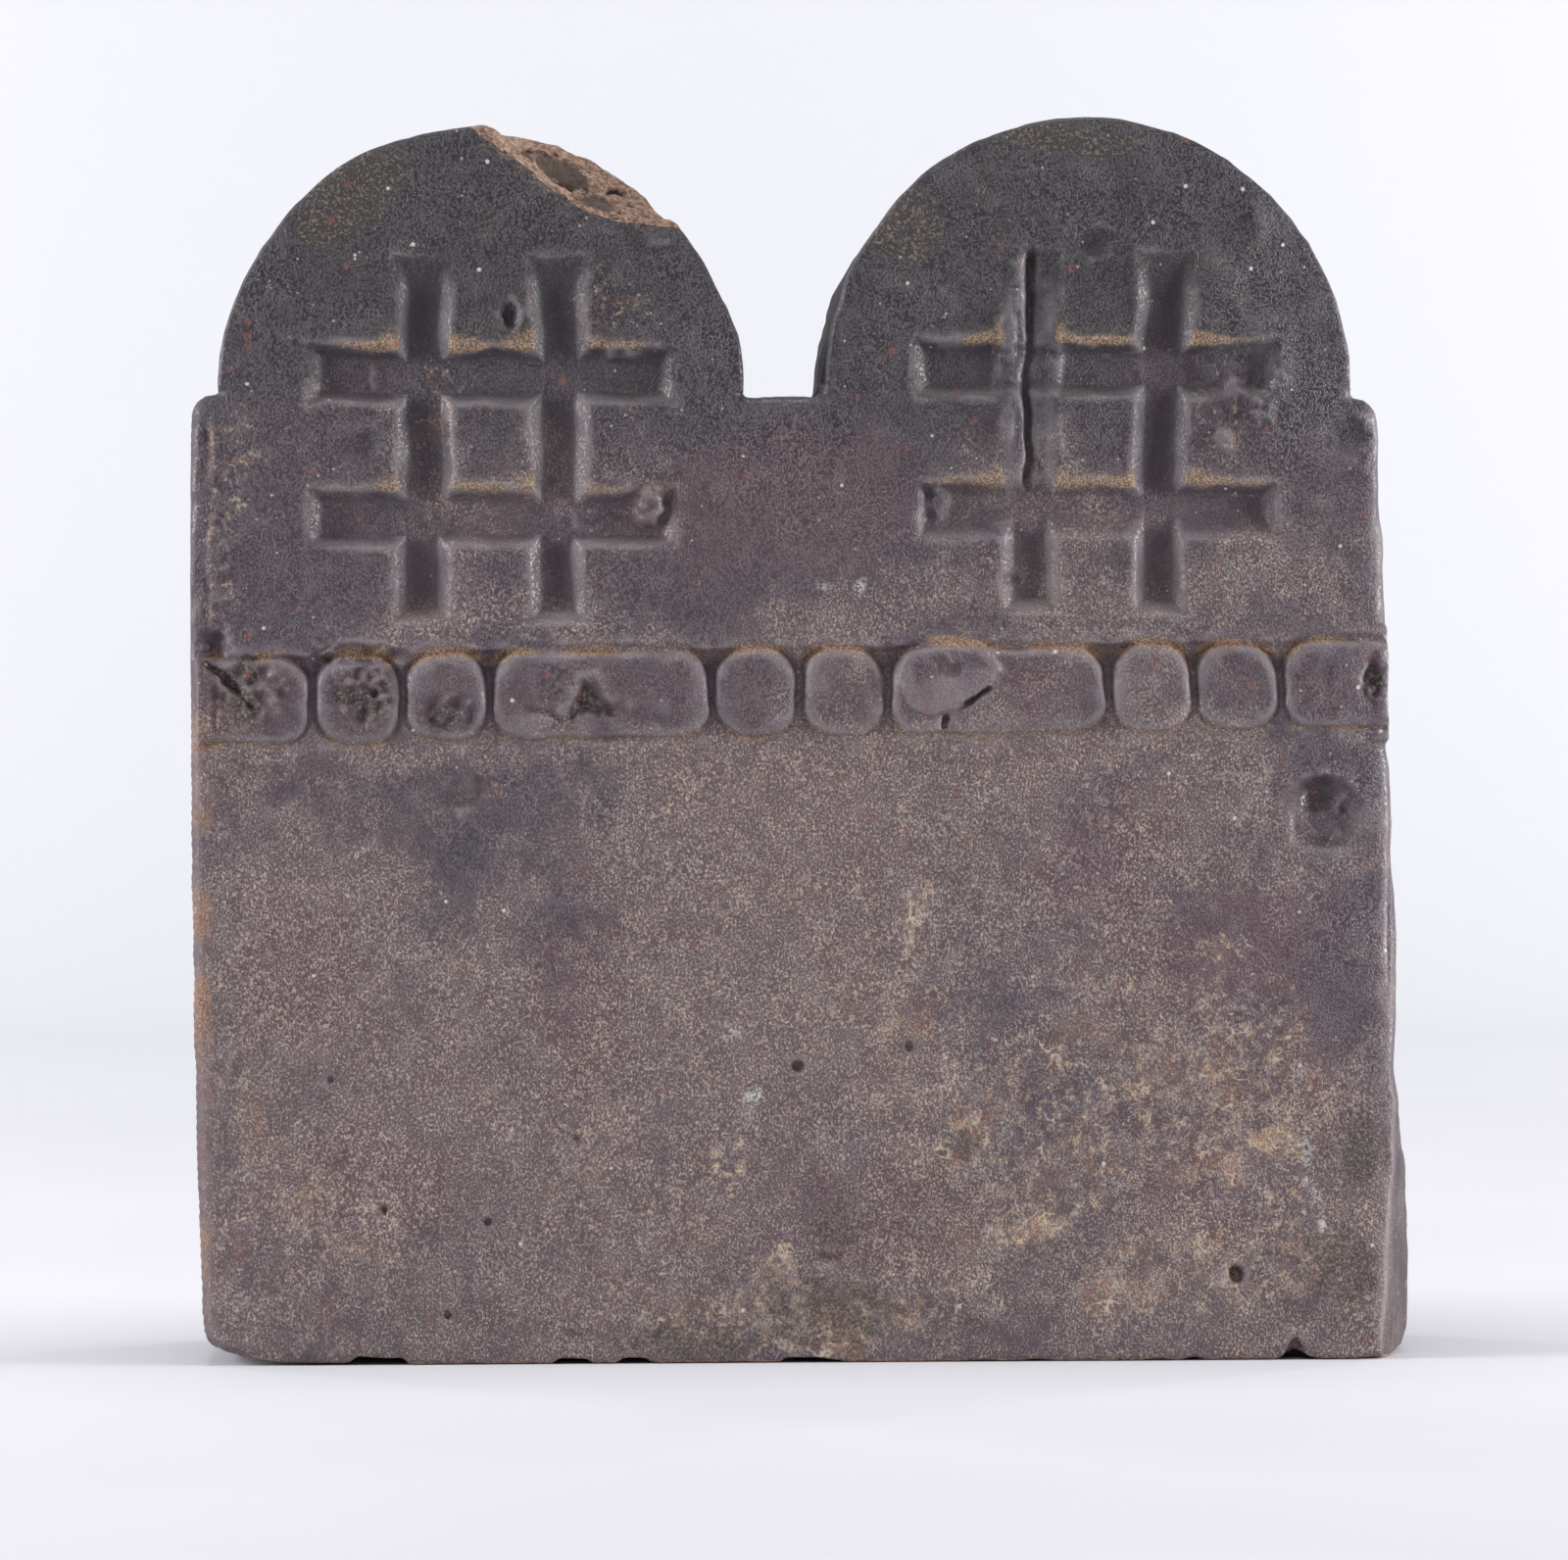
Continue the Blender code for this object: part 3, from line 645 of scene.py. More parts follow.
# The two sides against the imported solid: height, millimetres outwards
LEFT_SIDE_TRUE = ((0, 0.0), (60, 0.3), (110, 0.2), (150, 0.0), (175, 0.2), (190, 1.1), (205, 1.1), (225, 0.5),
                  (240, 0.0))
RIGHT_SIDE_TRUE = ((0, 0.4), (35, 0.3), (52, 1.0), (75, 0.8), (84, 1.4), (114, 1.4), (126, 0.6), (131, 0.2),
                   (138, 1.2), (147, 0.3), (158, -0.8), (166, -0.8), (178, 0.1), (186, 0.1), (195, -0.1),
                   (208, 0.4), (216, -0.3), (236, 0.3))


# How far the lobes' front edge is drawn back out to a sharper corner
CORNER_SQUARING = 0.55


def true_outline(points):
    """Push the rims of the lobes and the two sides to their real, slightly uneven line."""
    moved = points.copy()
    for (middle_x, middle_z, radius), line in ((LEFT_LOBE, LEFT_LOBE_TRUE), (RIGHT_LOBE, RIGHT_LOBE_TRUE)):
        x = points[:, 0] - middle_x
        z = points[:, 2] - middle_z
        away = np.hypot(x, z)
        angle = np.degrees(np.arctan2(x, z))
        outwards = np.interp(angle, *zip(*line))
        near = ramp(radius - 12.0, radius - 1.0, away) * ramp(radius + 3.0, radius + 1.5, away)
        share = outwards * near * (z > 0)
        inwards = np.maximum(radius - away, 0)
        behind = points[:, 1] - FACE_Y
        corner = ramp(5.5, 2.0, np.maximum(inwards, behind)) * (z > 0)
        corner *= ramp(radius + 4.0, radius + 2.5, away)
        share += CORNER_SQUARING * corner * inwards
        moved[:, 0] += x / np.maximum(away, 1) * share
        moved[:, 2] += z / np.maximum(away, 1) * share
        moved[:, 1] -= CORNER_SQUARING * corner * np.maximum(behind, 0)
    x, z = on_face(points)
    below_shoulder = ramp(SHOULDER_Z - 2.0, SHOULDER_Z - 8.0, z)
    for line, side in ((LEFT_SIDE_TRUE, -1), (RIGHT_SIDE_TRUE, 1)):
        outwards = np.interp(z, *zip(*line))
        moved[:, 0] += side * outwards * ramp(138.0, 150.0, side * x) * below_shoulder
    return moved


def cut_sides(points, normals):
    """Marks of the cutting wire round the thickness: ripples, drags and slow waves."""
    x, y, z = points.T
    side = ramp(0.35, 0.8, np.hypot(normals[:, 0], normals[:, 2]))
    leaning = 0.12 * y
    left = ramp(-0.3, -0.8, normals[:, 0]) * ramp(4.0, 10.0, z) * ramp(SHOULDER_Z - 2, SHOULDER_Z - 12, z)
    right = ramp(0.3, 0.8, normals[:, 0]) * ramp(90.0, 110.0, np.abs(x))
    ripple = 0.10 * np.sin((z + leaning) * 2.45 + 5.0 * noise(points, 18.0, 121))
    slow = 0.50 * noise(points * (0.2, 0.25, 1.0), 9.0, 122)
    drag = 0.22 * noise(points * (1.0, 1.0, 0.06), 1.7, 123)
    amount = left * (ripple + 0.3 * slow) + right * slow
    in_notch = ramp(NOTCH[0] - 12, NOTCH[0] - 4, x) * ramp(NOTCH[1] + 12, NOTCH[1] + 4, x)
    in_notch *= ramp(SHOULDER_Z - 3, SHOULDER_Z + 3, z)
    amount += in_notch * drag * 1.6 + right * drag
    amount += 0.22 * noise(points, 7.0, 124) + 0.12 * noise(points, 2.8, 125)
    across = normals * (1.0, 0.0, 1.0)
    return points + across * (amount * side)[:, None]


# The break on the left lobe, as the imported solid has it
BREAK_TURN = 25.0
BREAK_ON_FACE = 12.5
BREAK_ON_TOP = 27.0
BREAK_HOLLOW = 3.2
BREAK_LENGTH = 41.0


def break_distance(points):
    """Millimetres outside the scoop that the break follows."""
    chord = math.hypot(BREAK_ON_FACE, BREAK_ON_TOP)
    ball = (chord ** 2 / 4 + BREAK_HOLLOW ** 2) / (2 * BREAK_HOLLOW)
    outwards = (0.0, -BREAK_ON_FACE / chord, BREAK_ON_TOP / chord)
    middle = (0.0, FACE_Y + BREAK_ON_TOP / 2, LEFT_LOBE[2] - BREAK_ON_FACE / 2)
    centre = [a + b * (ball - BREAK_HOLLOW) for a, b in zip(middle, outwards)]
    along = BREAK_LENGTH * ball / chord
    angle = math.radians(BREAK_TURN)
    x = points[:, 0] - LEFT_LOBE[0]
    z = points[:, 2] - LEFT_LOBE[1]
    across = x * math.cos(angle) - z * math.sin(angle)
    upwards = x * math.sin(angle) + z * math.cos(angle)
    away = np.sqrt((across / along) ** 2 + ((points[:, 1] - centre[1]) / ball) ** 2
                   + ((upwards - centre[2]) / ball) ** 2)
    return (away - 1) * ball


# The line on the face along which the glaze ends, and the hollows in the break above it, painted dark as
# shade
GLAZE_END = ((-90.0, 316.5), (-86.8, 314.8), (-73.3, 305.6), (-62.2, 297.6), (-55.4, 291.4), (-44.0, 290.6),
             (-30.0, 289.5))
BREAK_PIT_SHADE = (
    # x, z, half width, half height, amount, turn where there is one
    (-63, 306, 10, 3.8, 1, -32),
    (-53.5, 296.5, 5.5, 2.6, 1, -10),
    (-70.5, 309.5, 4, 2, 0.7, -30),
    (-45, 297.5, 4, 1.6, 0.5, -30),
)


def rough_break(points, normals):
    """Torn, pitted clay inside the break."""
    share = ramp(1.6, 0.5, break_distance(points))
    torn = 1.2 * noise(points, 8.0, 131) + 0.75 * noise(points, 3.6, 132) + 0.4 * noise(points, 1.9, 133)
    pits = ramp(0.30, 0.62, noise(points, 3.2, 134))
    amount = np.minimum(0.9 * torn - 1.5 * pits, 0.3) * share
    return points + normals * amount[:, None]


# Where the foot's front edge doesn't touch the ground: from, to and how high
FOOT_GAPS = (
    (-116.5, -102.0, 2.0),
    (-65.0, -55.0, 1.3),
    (-48.5, -40.5, 1.1),
    (-7.0, 9.5, 0.9),
    (96.0, 101.0, 0.7),
)


def worn_foot(points):
    """Small chips along the foot's front edge."""
    x, y, z = points.T
    lift = 0.45 * noise(points * (1.0, 0.0, 0.0), 5.0, 141) + 6.5 * ramp(-147.0, -154.5, x)
    for start, end, height in FOOT_GAPS:
        lift += height * ramp(start - 1, start + 2, x) * ramp(end + 1, end - 2, x)
    front = ramp(FACE_Y + 11.0, FACE_Y + 5.0, y) * ramp(3.2 + lift, 0.4, z)
    moved = points.copy()
    squarer = 1 - 0.65 * ramp(6.0, 2.0, np.maximum(y - FACE_Y, z)) * ramp(149.0, 140.0, np.abs(x))
    moved[:, 1] = FACE_Y + (y - FACE_Y) * squarer
    moved[:, 2] = z * squarer
    moved[:, 2] += np.maximum(lift, 0) * front
    return moved


def back_relief(points):
    """The plain back: wire drags across it and a few slow hollows."""
    flat = points * (1.0, 0.0, 1.0)
    waves = 0.55 * noise(flat, 55.0, 151) + 0.30 * noise(flat, 17.0, 152)
    drags = 0.22 * noise(flat * (0.06, 0.0, 1.0), 2.6, 153) * ramp(-0.4, 0.5, noise(flat, 60.0, 154))
    crumbs = 0.5 * ramp(0.55, 0.8, noise(flat, 5.0, 155))
    return waves + drags + crumbs - 0.9


def smoothed(points, edges, rounds):
    """Each point moved towards the middle of its neighbours, as often as asked."""
    count = len(points)
    neighbours = np.bincount(edges.ravel(), minlength=count)[:, None]
    for _ in range(rounds):
        total = np.zeros_like(points)
        for axis in range(3):
            total[:, axis] = (np.bincount(edges[:, 0], points[edges[:, 1], axis], count)
                              + np.bincount(edges[:, 1], points[edges[:, 0], axis], count))
        points = 0.5 * points + 0.5 * total / neighbours
    return points


def read_edges(marker):
    edges = np.zeros(len(marker.data.edges) * 2, int)
    marker.data.edges.foreach_get("vertices", edges)
    return edges.reshape(-1, 2)


def sculpt(marker):
    """Work the whole skin: edges first, then the relief on each side."""
    points, normals = read_skin(marker)
    points = press_face(points)
    points = true_outline(points)
    points = cut_sides(points, normals)
    points = rough_break(points, normals)
    points[:, 1] -= face_relief(points) * front_share(points)
    back = ramp(BACK_Y - 6.0, BACK_Y - 1.5, points[:, 1])
    points[:, 1] += back_relief(points) * back
    points = worn_foot(points)
    write_skin(marker, points)


# Masks on the skin

def hollowness(marker, points, normals, rounds):
    """Millimetres that each point lies below the smoothed skin."""
    soft = smoothed(points, read_edges(marker), rounds)
    return np.sum((soft - points) * normals, axis=1)


# Where the crust of fine grain lies thick (more than 0) or the glaze is bare of it (less than 0)
CRUST_PATCHES = (
    # x, z, half width, half height, amount
    (-125, 140, 30, 18, -0.26),
    (-85, 148, 45, 12, -0.28),
    (-92, 122, 10, 26, -0.20),
    (-62, 112, 9, 30, -0.28),
    (-10, 225, 40, 30, -0.35),
    (-128, 225, 20, 60, -0.20),
    (-83, 292, 48, 24, -0.60),
    (70, 298, 52, 22, -0.30),
    (128, 240, 18, 40, -0.20),
    (118, 100, 30, 26, -0.34),
    (-20, 135, 55, 22, 0.22),
    (-30, 60, 70, 60, 0.19),
    (-130, 80, 25, 60, 0.20),
    (0, 158, 160, 5, 0.25),
    (40, 198, 60, 9, 0.20),
    (-60, 190, 100, 7, 0.25),
    (82, 141, 24, 14, -0.20),
    (142, 108, 16, 34, -0.42),
    (131.5, 141, 14, 13, -0.18),
    (104, 116, 14, 14, -0.25),
    (54, 116, 20, 12, 0.15),
    (16, 234, 16, 14, -0.25),
    (76, 236, 13, 13, -0.30),
    (-81, 236, 13, 12, -0.15),
    (117, 200, 22, 11, 0.25),
    (-139, 200, 14, 12, 0.15),
)

# Where the glaze stayed dull and dark, with tan grains on it
DARK_PATCHES = (
    # x, z, half width, half height, amount, turn where there is one
    (-114, 298, 16, 10, 1, 38),
    (-124, 289, 8, 6, 0.8, 38),
    (25, 291, 11, 15, 0.8, 40),
    (66, 313, 18, 4.5, 0.9),
    (142, 54, 5, 12, 0.9),
    (-30, 7, 26, 8, 0.6),
    (6, 14, 26, 12, 0.6),
    (136, 22, 15, 16, 0.6),
    (8, 36, 12, 9, 0.5),
    (-64, 8, 12, 5, 0.5),
    (40, 56, 7, 6, 0.6),
    (133, 132.5, 5, 2.4, 0.9),
)

# Where clusters of tan deposit lie
TAN_PATCHES = (
    # x, z, half width, half height, amount
    (105, 70, 45, 36, 0.38),
    (60, 60, 50, 35, 0.34),
    (0, 15, 60, 14, 0.42),
    (100, 20, 50, 16, 0.37),
    (124, 55, 8, 6, 0.56),
    (112, 46, 5, 4, 0.56),
    (20, 95, 30, 20, 0.29),
    (27, 116, 7, 15, 0.42),
    (-120, 38, 28, 22, 0.29),
    (-40, 40, 40, 26, 0.26),
    (75, 95, 30, 20, 0.27),
    (-30, 120, 60, 20, 0.21),
    (-143, 60, 12, 50, 0.29),
    (-147, 215, 7, 40, 0.32),
    (55, 36, 16, 5, 0.50),
    (-4, 24, 7, 9, 0.48),
    (16, 68, 5, 4, 0.48),
    (107, 106, 12, 6, 0.36),
    (-50, 268, 14, 14, 0.28),
    (-95, 243, 8, 16, 0.30),
    (105, 243, 12, 14, 0.27),
)

# How much of it lies over the rest of the glaze
TAN_EVERYWHERE = 0.14

# Rings of tan specks left by drops: x, z and radius
DROP_RINGS = ((122.3, 38.6, 4.6), (40.1, 56.1, 5.0), (103.0, 30.0, 4.0), (-20.0, 52.0, 4.0))

# Thin white scratches and spots of lime on the face
CHALK_MARKS = (
    ((-21.4, 86.4), (-20.8, 83.6)),
    ((-18.6, 84.6), (-17.8, 84.2)),
    ((-15.3, 69.6), (-14.6, 66.2), (-15.2, 64.6)),
    ((-12.8, 68.6), (-12.4, 67)),
    ((126.8, 56.4), (128.4, 47), (131.6, 38.2), (132, 33)),
    ((2, 199), (8, 197.4), (13, 197.8)),
    ((88.6, 84), (88.9, 82.6)),
)

# Where the glaze is stained maroon
MAROON_PATCHES = (
    # x, z, half width, half height, amount, turn where there is one
    (110, 105, 30, 18, 1),
    (75, 130, 26, 16, 0.9),
    (-110, 47, 26, 16, 0.9),
    (-57, 95, 12, 26, 1),
    (-8, 220, 40, 20, 0.9),
    (20, 40, 26, 14, 0.8),
    (-130, 95, 20, 18, 0.8),
    (128, 70, 18, 20, 0.9),
    (95, 40, 25, 20, 0.8),
    (-80, 232, 12, 10, 0.6),
    (112, 171, 8, 6, 0.6),
)


# Raised spots painted pale as highlights, where they catch the lights
HIGHLIGHT_SPOTS = (
    # x, z, half width, half height, amount, turn where there is one
    (125.2, 139.7, 2.2, 4.2, 0.9),
    (143, 139, 3.2, 6, 0.9, -15),
    (134, 131, 8, 3, 0.5, 10),
    (-87, 147.5, 2.2, 2.6, 0.8),
    (-112, 152, 1.8, 2.4, 0.5),
    (-39.5, 217, 2.6, 5, 0.6),
    (33, 217.5, 2.6, 3.4, 0.7),
    (104, 283, 3, 9, 0.34, 28),
    (113.5, 266, 2.6, 10, 0.34, 20),
    (124, 258, 2.4, 11, 0.30, 6),
    (131, 262, 2, 12, 0.30, 6),
    (137, 232, 7, 3, 0.40),
    (73, 304, 6, 3, 0.30, -20),
)

# Where the glaze ran thick and glossy
GLOSSY_PATCHES = (
    # x, z, half width, half height, amount, turn where there is one
    (131.5, 141, 18, 15, 1),
    (118, 262, 20, 34, 0.8),
    (140, 125, 10, 40, 0.7),
    (-30, 275, 12, 22, 0.6, 25),
    (-90, 150, 40, 8, 0.6),
    (-5, 225, 34, 20, 0.5),
)


def strayed(points):
    """Places on the face moved far enough to give drawn ovals an uneven outline."""
    flat = points * (1.0, 0.0, 1.0)
    x = points[:, 0] + 7.0 * noise(flat, 21.0, 241) + 3.0 * noise(flat, 8.0, 242)
    z = points[:, 2] + 7.0 * noise(flat, 21.0, 251) + 3.0 * noise(flat, 8.0, 252)
    return x, z


def patches(x, z, places):
    """The strongest of some soft ovals at each place."""
    total = np.zeros(len(x))
    for amount, away in ovals(x, z, places):
        total = np.maximum(total, amount * ramp(1.4, 0.4, away))
    return total


def crust_mask(points):
    x, z = strayed(points)
    # More crust below the band and much less on the lobes, so the face is lighter low and darker high: partly
    # the glaze's own grain, partly painted light and shade
    crust = 0.32 + 0.30 * ramp(188.0, 150.0, z)
    crust += 0.24 * rough(points, 34.0, 201) + 0.14 * rough(points, 9.0, 205)
    crust -= 0.50 * ramp(225.0, 270.0, z)
    for amount, away in ovals(x, z, CRUST_PATCHES):
        crust += amount * ramp(1.4, 0.3, away)
    x, z = shifted(points)
    uprights, levels = groove_distances(x, z)
    nearest = np.minimum(uprights, levels)
    crust += 0.14 * ramp(6.0, 0.5, nearest) * ramp(-2.0, 0.5, nearest)
    crust -= 0.03 * ramp(-1.5, -4.0, nearest)
    on_beads = ramp(0.0, -3.0, bead_distance(x, z)) * ramp(12.0, 10.0, np.abs(above_band(x, z)))
    return crust - 0.13 * on_beads


def dust_mask(points, hollow):
    """Ochre dust in the corners above the level grooves and round the beads."""
    x, z = shifted(points)
    uprights, levels = groove_distances(x, z)
    broken = 0.75 + 0.55 * noise(points, 6.0, 211)
    dust = 0.25 * ramp(0.10, 0.45, hollow)
    corner = hump(uprights - 1.0, 8.0)
    for over, reach in above_levels(x, z, 3):
        line = 0.85 * hump(over - 0.5, 1.1) + 0.75 * corner * ramp(-1.0, 0.2, over) * ramp(7.0, 0.5, over)
        dust += line * reach * ramp(-1.0, 0.3, uprights) * (0.65 + 0.75 * noise(points, 7.0, 212))
    beside = ramp(3.2, 0.4, uprights) * ramp(-0.8, 0.4, uprights) * ramp(-1.0, 1.0, levels)
    dust += 0.20 * beside * broken
    above = above_band(x, z)
    away = bead_distance(x, z)
    patchy = 0.30 + 0.95 * ramp(-0.35, 0.35, noise(points, 8.0, 214))
    dust += 0.85 * ramp(-1.8, -0.2, away) * ramp(3.4, 0.4, away) * ramp(6.0, 10.0, above) * patchy
    dust += 0.48 * ramp(-1.0, 0.3, away) * ramp(3.5, 0.6, away) * ramp(-6.0, -10.0, above) * broken
    line = hump(points[:, 0] - LEFT_TEAR_X - 0.6, 1.1) * ramp(186.0, 192.0, z) * ramp(242.0, 236.0, z)
    torn_edge = hump(np.abs(break_distance(points)) - 1.0, 1.6)
    left = ramp(-149.0, -153.0, points[:, 0]) * ramp(182.0, 160.0, z)
    left *= 0.42 + 0.45 * noise(points, 7.0, 213)
    return dust + 0.6 * line * broken + 0.35 * torn_edge + left


def rust_mask(points):
    """Where the dust turns rusty: over the band and down the left edge."""
    x, z = on_face(points)
    above = above_band(x, z)
    rust = ramp(2.0, 9.0, above) * ramp(17.0, 13.0, above)
    left = ramp(-148.5, -154.0, x) * ramp(180.0, 150.0, z)
    return np.maximum(0.7 * rust * (0.6 + 0.6 * noise(points, 16.0, 221)), left)


def recess_shade_mask(points, hollow):
    """Painted shade in the deep gaps between the beads and in the slot."""
    x, z = shifted(points)
    above = above_band(x, z)
    gaps = 0.8 * ramp(0.4, 1.2, hollow) * ramp(13.0, 11.0, np.abs(above)) * ramp(-6.0, 2.0, above)
    slot = hump(x + slot_waver(points) - SLOT_X, 0.8)
    slot *= ramp(SLOT_FOOT - 4, SLOT_FOOT + 6, z) * ramp(SLOT_TOP - 1, SLOT_TOP - 6, z)
    return np.maximum(gaps, 0.36 * slot * (0.7 + 0.8 * noise(points, 5.0, 231)))


def torn_spots(points):
    """Where the beads' clay was torn, which left a dull crumbly skin."""
    x, z = on_face(points)
    torn = ramp(-0.5, 1.5, depth_inside(x, z, BAR_SCAR))
    torn = np.maximum(torn, 0.8 * ramp(3.0, 0.6, path_distance(x, z, TORN_END)))
    torn = np.maximum(torn, 0.6 * ramp(0.5, 3.0, depth_inside(x, z, TORN_TONGUE)))
    for _, away in ovals(x, z, BEAD_SCARS):
        torn = np.maximum(torn, 0.62 * ramp(1.2, 0.5, away))
    return torn


def tan_mask(points):
    """Where the tan deposit gathers, rings and all."""
    total = np.maximum(patches(*strayed(points), TAN_PATCHES), TAN_EVERYWHERE)
    x, z = on_face(points)
    for middle_x, middle_z, radius in DROP_RINGS:
        total = np.maximum(total, 0.55 * hump(np.hypot(x - middle_x, z - middle_z) - radius, 1.3))
    return total


def chalk_mask(points):
    x, z = on_face(points)
    lines = [path_distance(x, z, mark) for mark in CHALK_MARKS]
    return ramp(1.1, 0.2, np.minimum.reduce(lines))


# Where the white salt specks gather, and how much of them lies elsewhere
SALT_PATCHES = (
    # x, z, half width, half height, amount
    (104, 275, 28, 34, 1.0),
    (-80, 280, 50, 34, 0.35),
)
SALT_EVERYWHERE = 0.06


def salt_mask(points):
    """White specks, most of them on the upper right of the right lobe."""
    x, z = on_face(points)
    specks = [amount * ramp(1.3, 0.5, away) for amount, away in ovals(x, z, SALT_PATCHES)]
    return np.maximum(np.maximum(*specks), SALT_EVERYWHERE)


def store(marker, name, values):
    layer = marker.data.attributes.new(name, "FLOAT", "POINT")
    layer.data.foreach_set("value", np.clip(values, 0, 1).astype(np.float32))


# Heights between which the glaze darkens towards the top, partly its own tone and partly painted shade, then
# the band's top and the level grooves' lower edges
DARK_TOP_FROM = 196.0
DARK_TOP_TO = 288.0
BAND_TOP = 184.0
LOWER_EDGES = (208.0, 245.5)


def clay_mask(points):
    """Bare clay: the break above the line where the glaze ends, and the very foot."""
    x, z = on_face(points)
    glaze_end = np.interp(x, *zip(*GLAZE_END))
    above_glaze = ramp(-1.2, 0.8, z - glaze_end + 0.8 * noise(points, 3.0, 135))
    return np.maximum(ramp(3.0, 0.6, break_distance(points)) * above_glaze, 0.9 * ramp(1.5, 0.2, z))


def matt_mask(points):
    """Dull dark patches, half strayed from their ovals, and the torn beads."""
    x, z = on_face(points)
    stray_x, stray_z = strayed(points)
    matt = patches(0.6 * x + 0.4 * stray_x, 0.6 * z + 0.4 * stray_z, DARK_PATCHES)
    return np.maximum(matt, torn_spots(points))


def dark_top_mask(points):
    """The glaze darkens towards the lobes and fades out at the band: partly its own tone, partly painted
    shade. The groove floors get less of it, which paints them lighter against their shade.
    """
    z = points[:, 2]
    floors = ramp(-2.5, -4.5, np.minimum(*groove_distances(*shifted(points))))
    darker_top = (0.10 + 0.76 * ramp(DARK_TOP_FROM, DARK_TOP_TO, z)) * ramp(BAND_TOP, BAND_TOP + 6, z)
    return darker_top * (1 - 0.45 * floors)


def groove_wall_highlight_mask(points):
    """Painted highlight on the grooves' lit walls, the upright ones' walls and the level ones' lower walls,
    and on the highlight spots.
    """
    x, z = on_face(points)
    uprights, levels = groove_distances(*shifted(points))
    walls = 0.85 * hump(uprights + 1.7, 1.5) * ramp(-1.5, 0.5, levels)
    below = np.minimum.reduce([np.abs(z - edge) for edge in LOWER_EDGES])
    lower_walls = 0.55 * hump(levels + 0.8, 1.2) * ramp(-1.5, 0.5, uprights) * ramp(6.0, 3.0, below)
    walls = np.maximum(walls, lower_walls)
    walls *= (0.7 + 0.5 * noise(points, 9.0, 262)) * ramp(280.0, 268.0, z)
    return np.maximum(walls, patches(x, z, HIGHLIGHT_SPOTS) * (0.7 + 0.6 * noise(points, 2.5, 264)))


def bead_rim_wear_and_highlight_mask(points):
    """The pale rims of the beads and bars: worn glaze, with a painted highlight where the rims catch the side
    lights.
    """
    rims = hump(bead_distance(*shifted(points)) + 1.1, 0.8)
    rims *= ramp(13.5, 12.0, np.abs(above_band(*on_face(points))))
    return rims * (0.75 + 0.5 * noise(points, 6.0, 261) + 0.4 * noise(points, 2.2, 263))


def maroon_mask(points):
    x, z = on_face(points)
    on_beads = ramp(-1.0, -4.0, bead_distance(x, z)) * ramp(13.5, 12.0, np.abs(above_band(x, z)))
    return np.maximum(patches(*strayed(points), MAROON_PATCHES), 0.6 * on_beads)


def paint_masks(marker):
    """Store every mask on the skin, for the material to read."""
    points, normals = read_skin(marker)
    x, z = on_face(points)
    fine = hollowness(marker, points, normals, 10)
    front = front_share(points)
    scoop = break_distance(points)
    side = ramp(0.5, 0.85, np.abs(normals[:, 0]))
    # Pale worn convex edges, together with painted highlights on the bead rims, the groove walls and the
    # highlight spots
    wear_and_highlight = np.maximum.reduce((0.8 * ramp(0.05, 0.42, -fine), bead_rim_wear_and_highlight_mask(points), groove_wall_highlight_mask(points)))
    masks = {
        "bare_clay": clay_mask(points),
        "pit_shade": patches(x, z, BREAK_PIT_SHADE),
        # Less crust on the two sides, which darkens them
        "crust": crust_mask(points) - 0.22 * side,
        "dust": dust_mask(points, fine) * front,
        "rust": rust_mask(points) * np.maximum(front, side * 0.6),
        "recess_shade": recess_shade_mask(points, fine) * front,
        "matt_patch": matt_mask(points) * front,
        "dark_top_glaze": dark_top_mask(points),
        "maroon": maroon_mask(points),
        "tan": tan_mask(points),
        "chalk": chalk_mask(points) * front,
        "salt": salt_mask(points),
        "hollow": 0.5 + 0.5 * fine,
        # edge: wear on the edges and painted highlights, tinted pale grey
        "edge": wear_and_highlight * ramp(2.5, 6.0, inside_rim(x, z)) * ramp(1.5, 7.0, scoop) * front,
        "glossy": patches(x, z, GLOSSY_PATCHES) * front,
        "arris": ramp(0.30, 0.75, -fine) * (1 - front) * ramp(2.0, 6.0, scoop),
        "flank": side * ramp(FACE_Y + 1.0, FACE_Y + 5.0, points[:, 1]),
    }
    for name, values in masks.items():
        store(marker, name, values)


# How large, in metres, is what the shared groups lay on the glaze
CREST_SIZE = 0.00050
IRON_SIZE = 0.0042
SALT_SIZE = 0.0021
PINPOINT_SIZE = 0.0013
LACE_SIZE = 0.0050

# The glaze is a little stretched upwards in its grain
GRAIN_STRETCH = (1.0, 1.0, 0.75)

GLAZE_IOR = 1.5
DULL_ROUGHNESS = 0.74


# Material tools

def add(tree, kind, inputs=None, **settings):
    """One node, with its settings first and then its sockets set or joined by name or number."""
    made = tree.nodes.new(kind)
    for name, value in settings.items():
        setattr(made, name, value)
    for socket, value in (inputs or {}).items():
        if isinstance(value, bpy.types.NodeSocket):
            tree.links.new(value, made.inputs[socket])
        else:
            made.inputs[socket].default_value = value
    return made


def sums(tree, operation, first, second=0.0):
    return add(tree, "ShaderNodeMath", {0: first, 1: second}, operation=operation).outputs[0]


def times(tree, *values):
    """The values multiplied, one after the other."""
    product = values[0]
    for value in values[1:]:
        product = sums(tree, "MULTIPLY", product, value)
    return product


def most(tree, *values):
    """The greatest of the values."""
    greatest = values[0]
    for value in values[1:]:
        greatest = sums(tree, "MAXIMUM", greatest, value)
    return greatest


def stretch(tree, value, low, high, to_low=0.0, to_high=1.0):
    """The value's range low to high, spread smoothly over another range."""
    inputs = {"Value": value, "From Min": low, "From Max": high, "To Min": to_low, "To Max": to_high}
    return add(tree, "ShaderNodeMapRange", inputs, interpolation_type="SMOOTHSTEP").outputs["Result"]


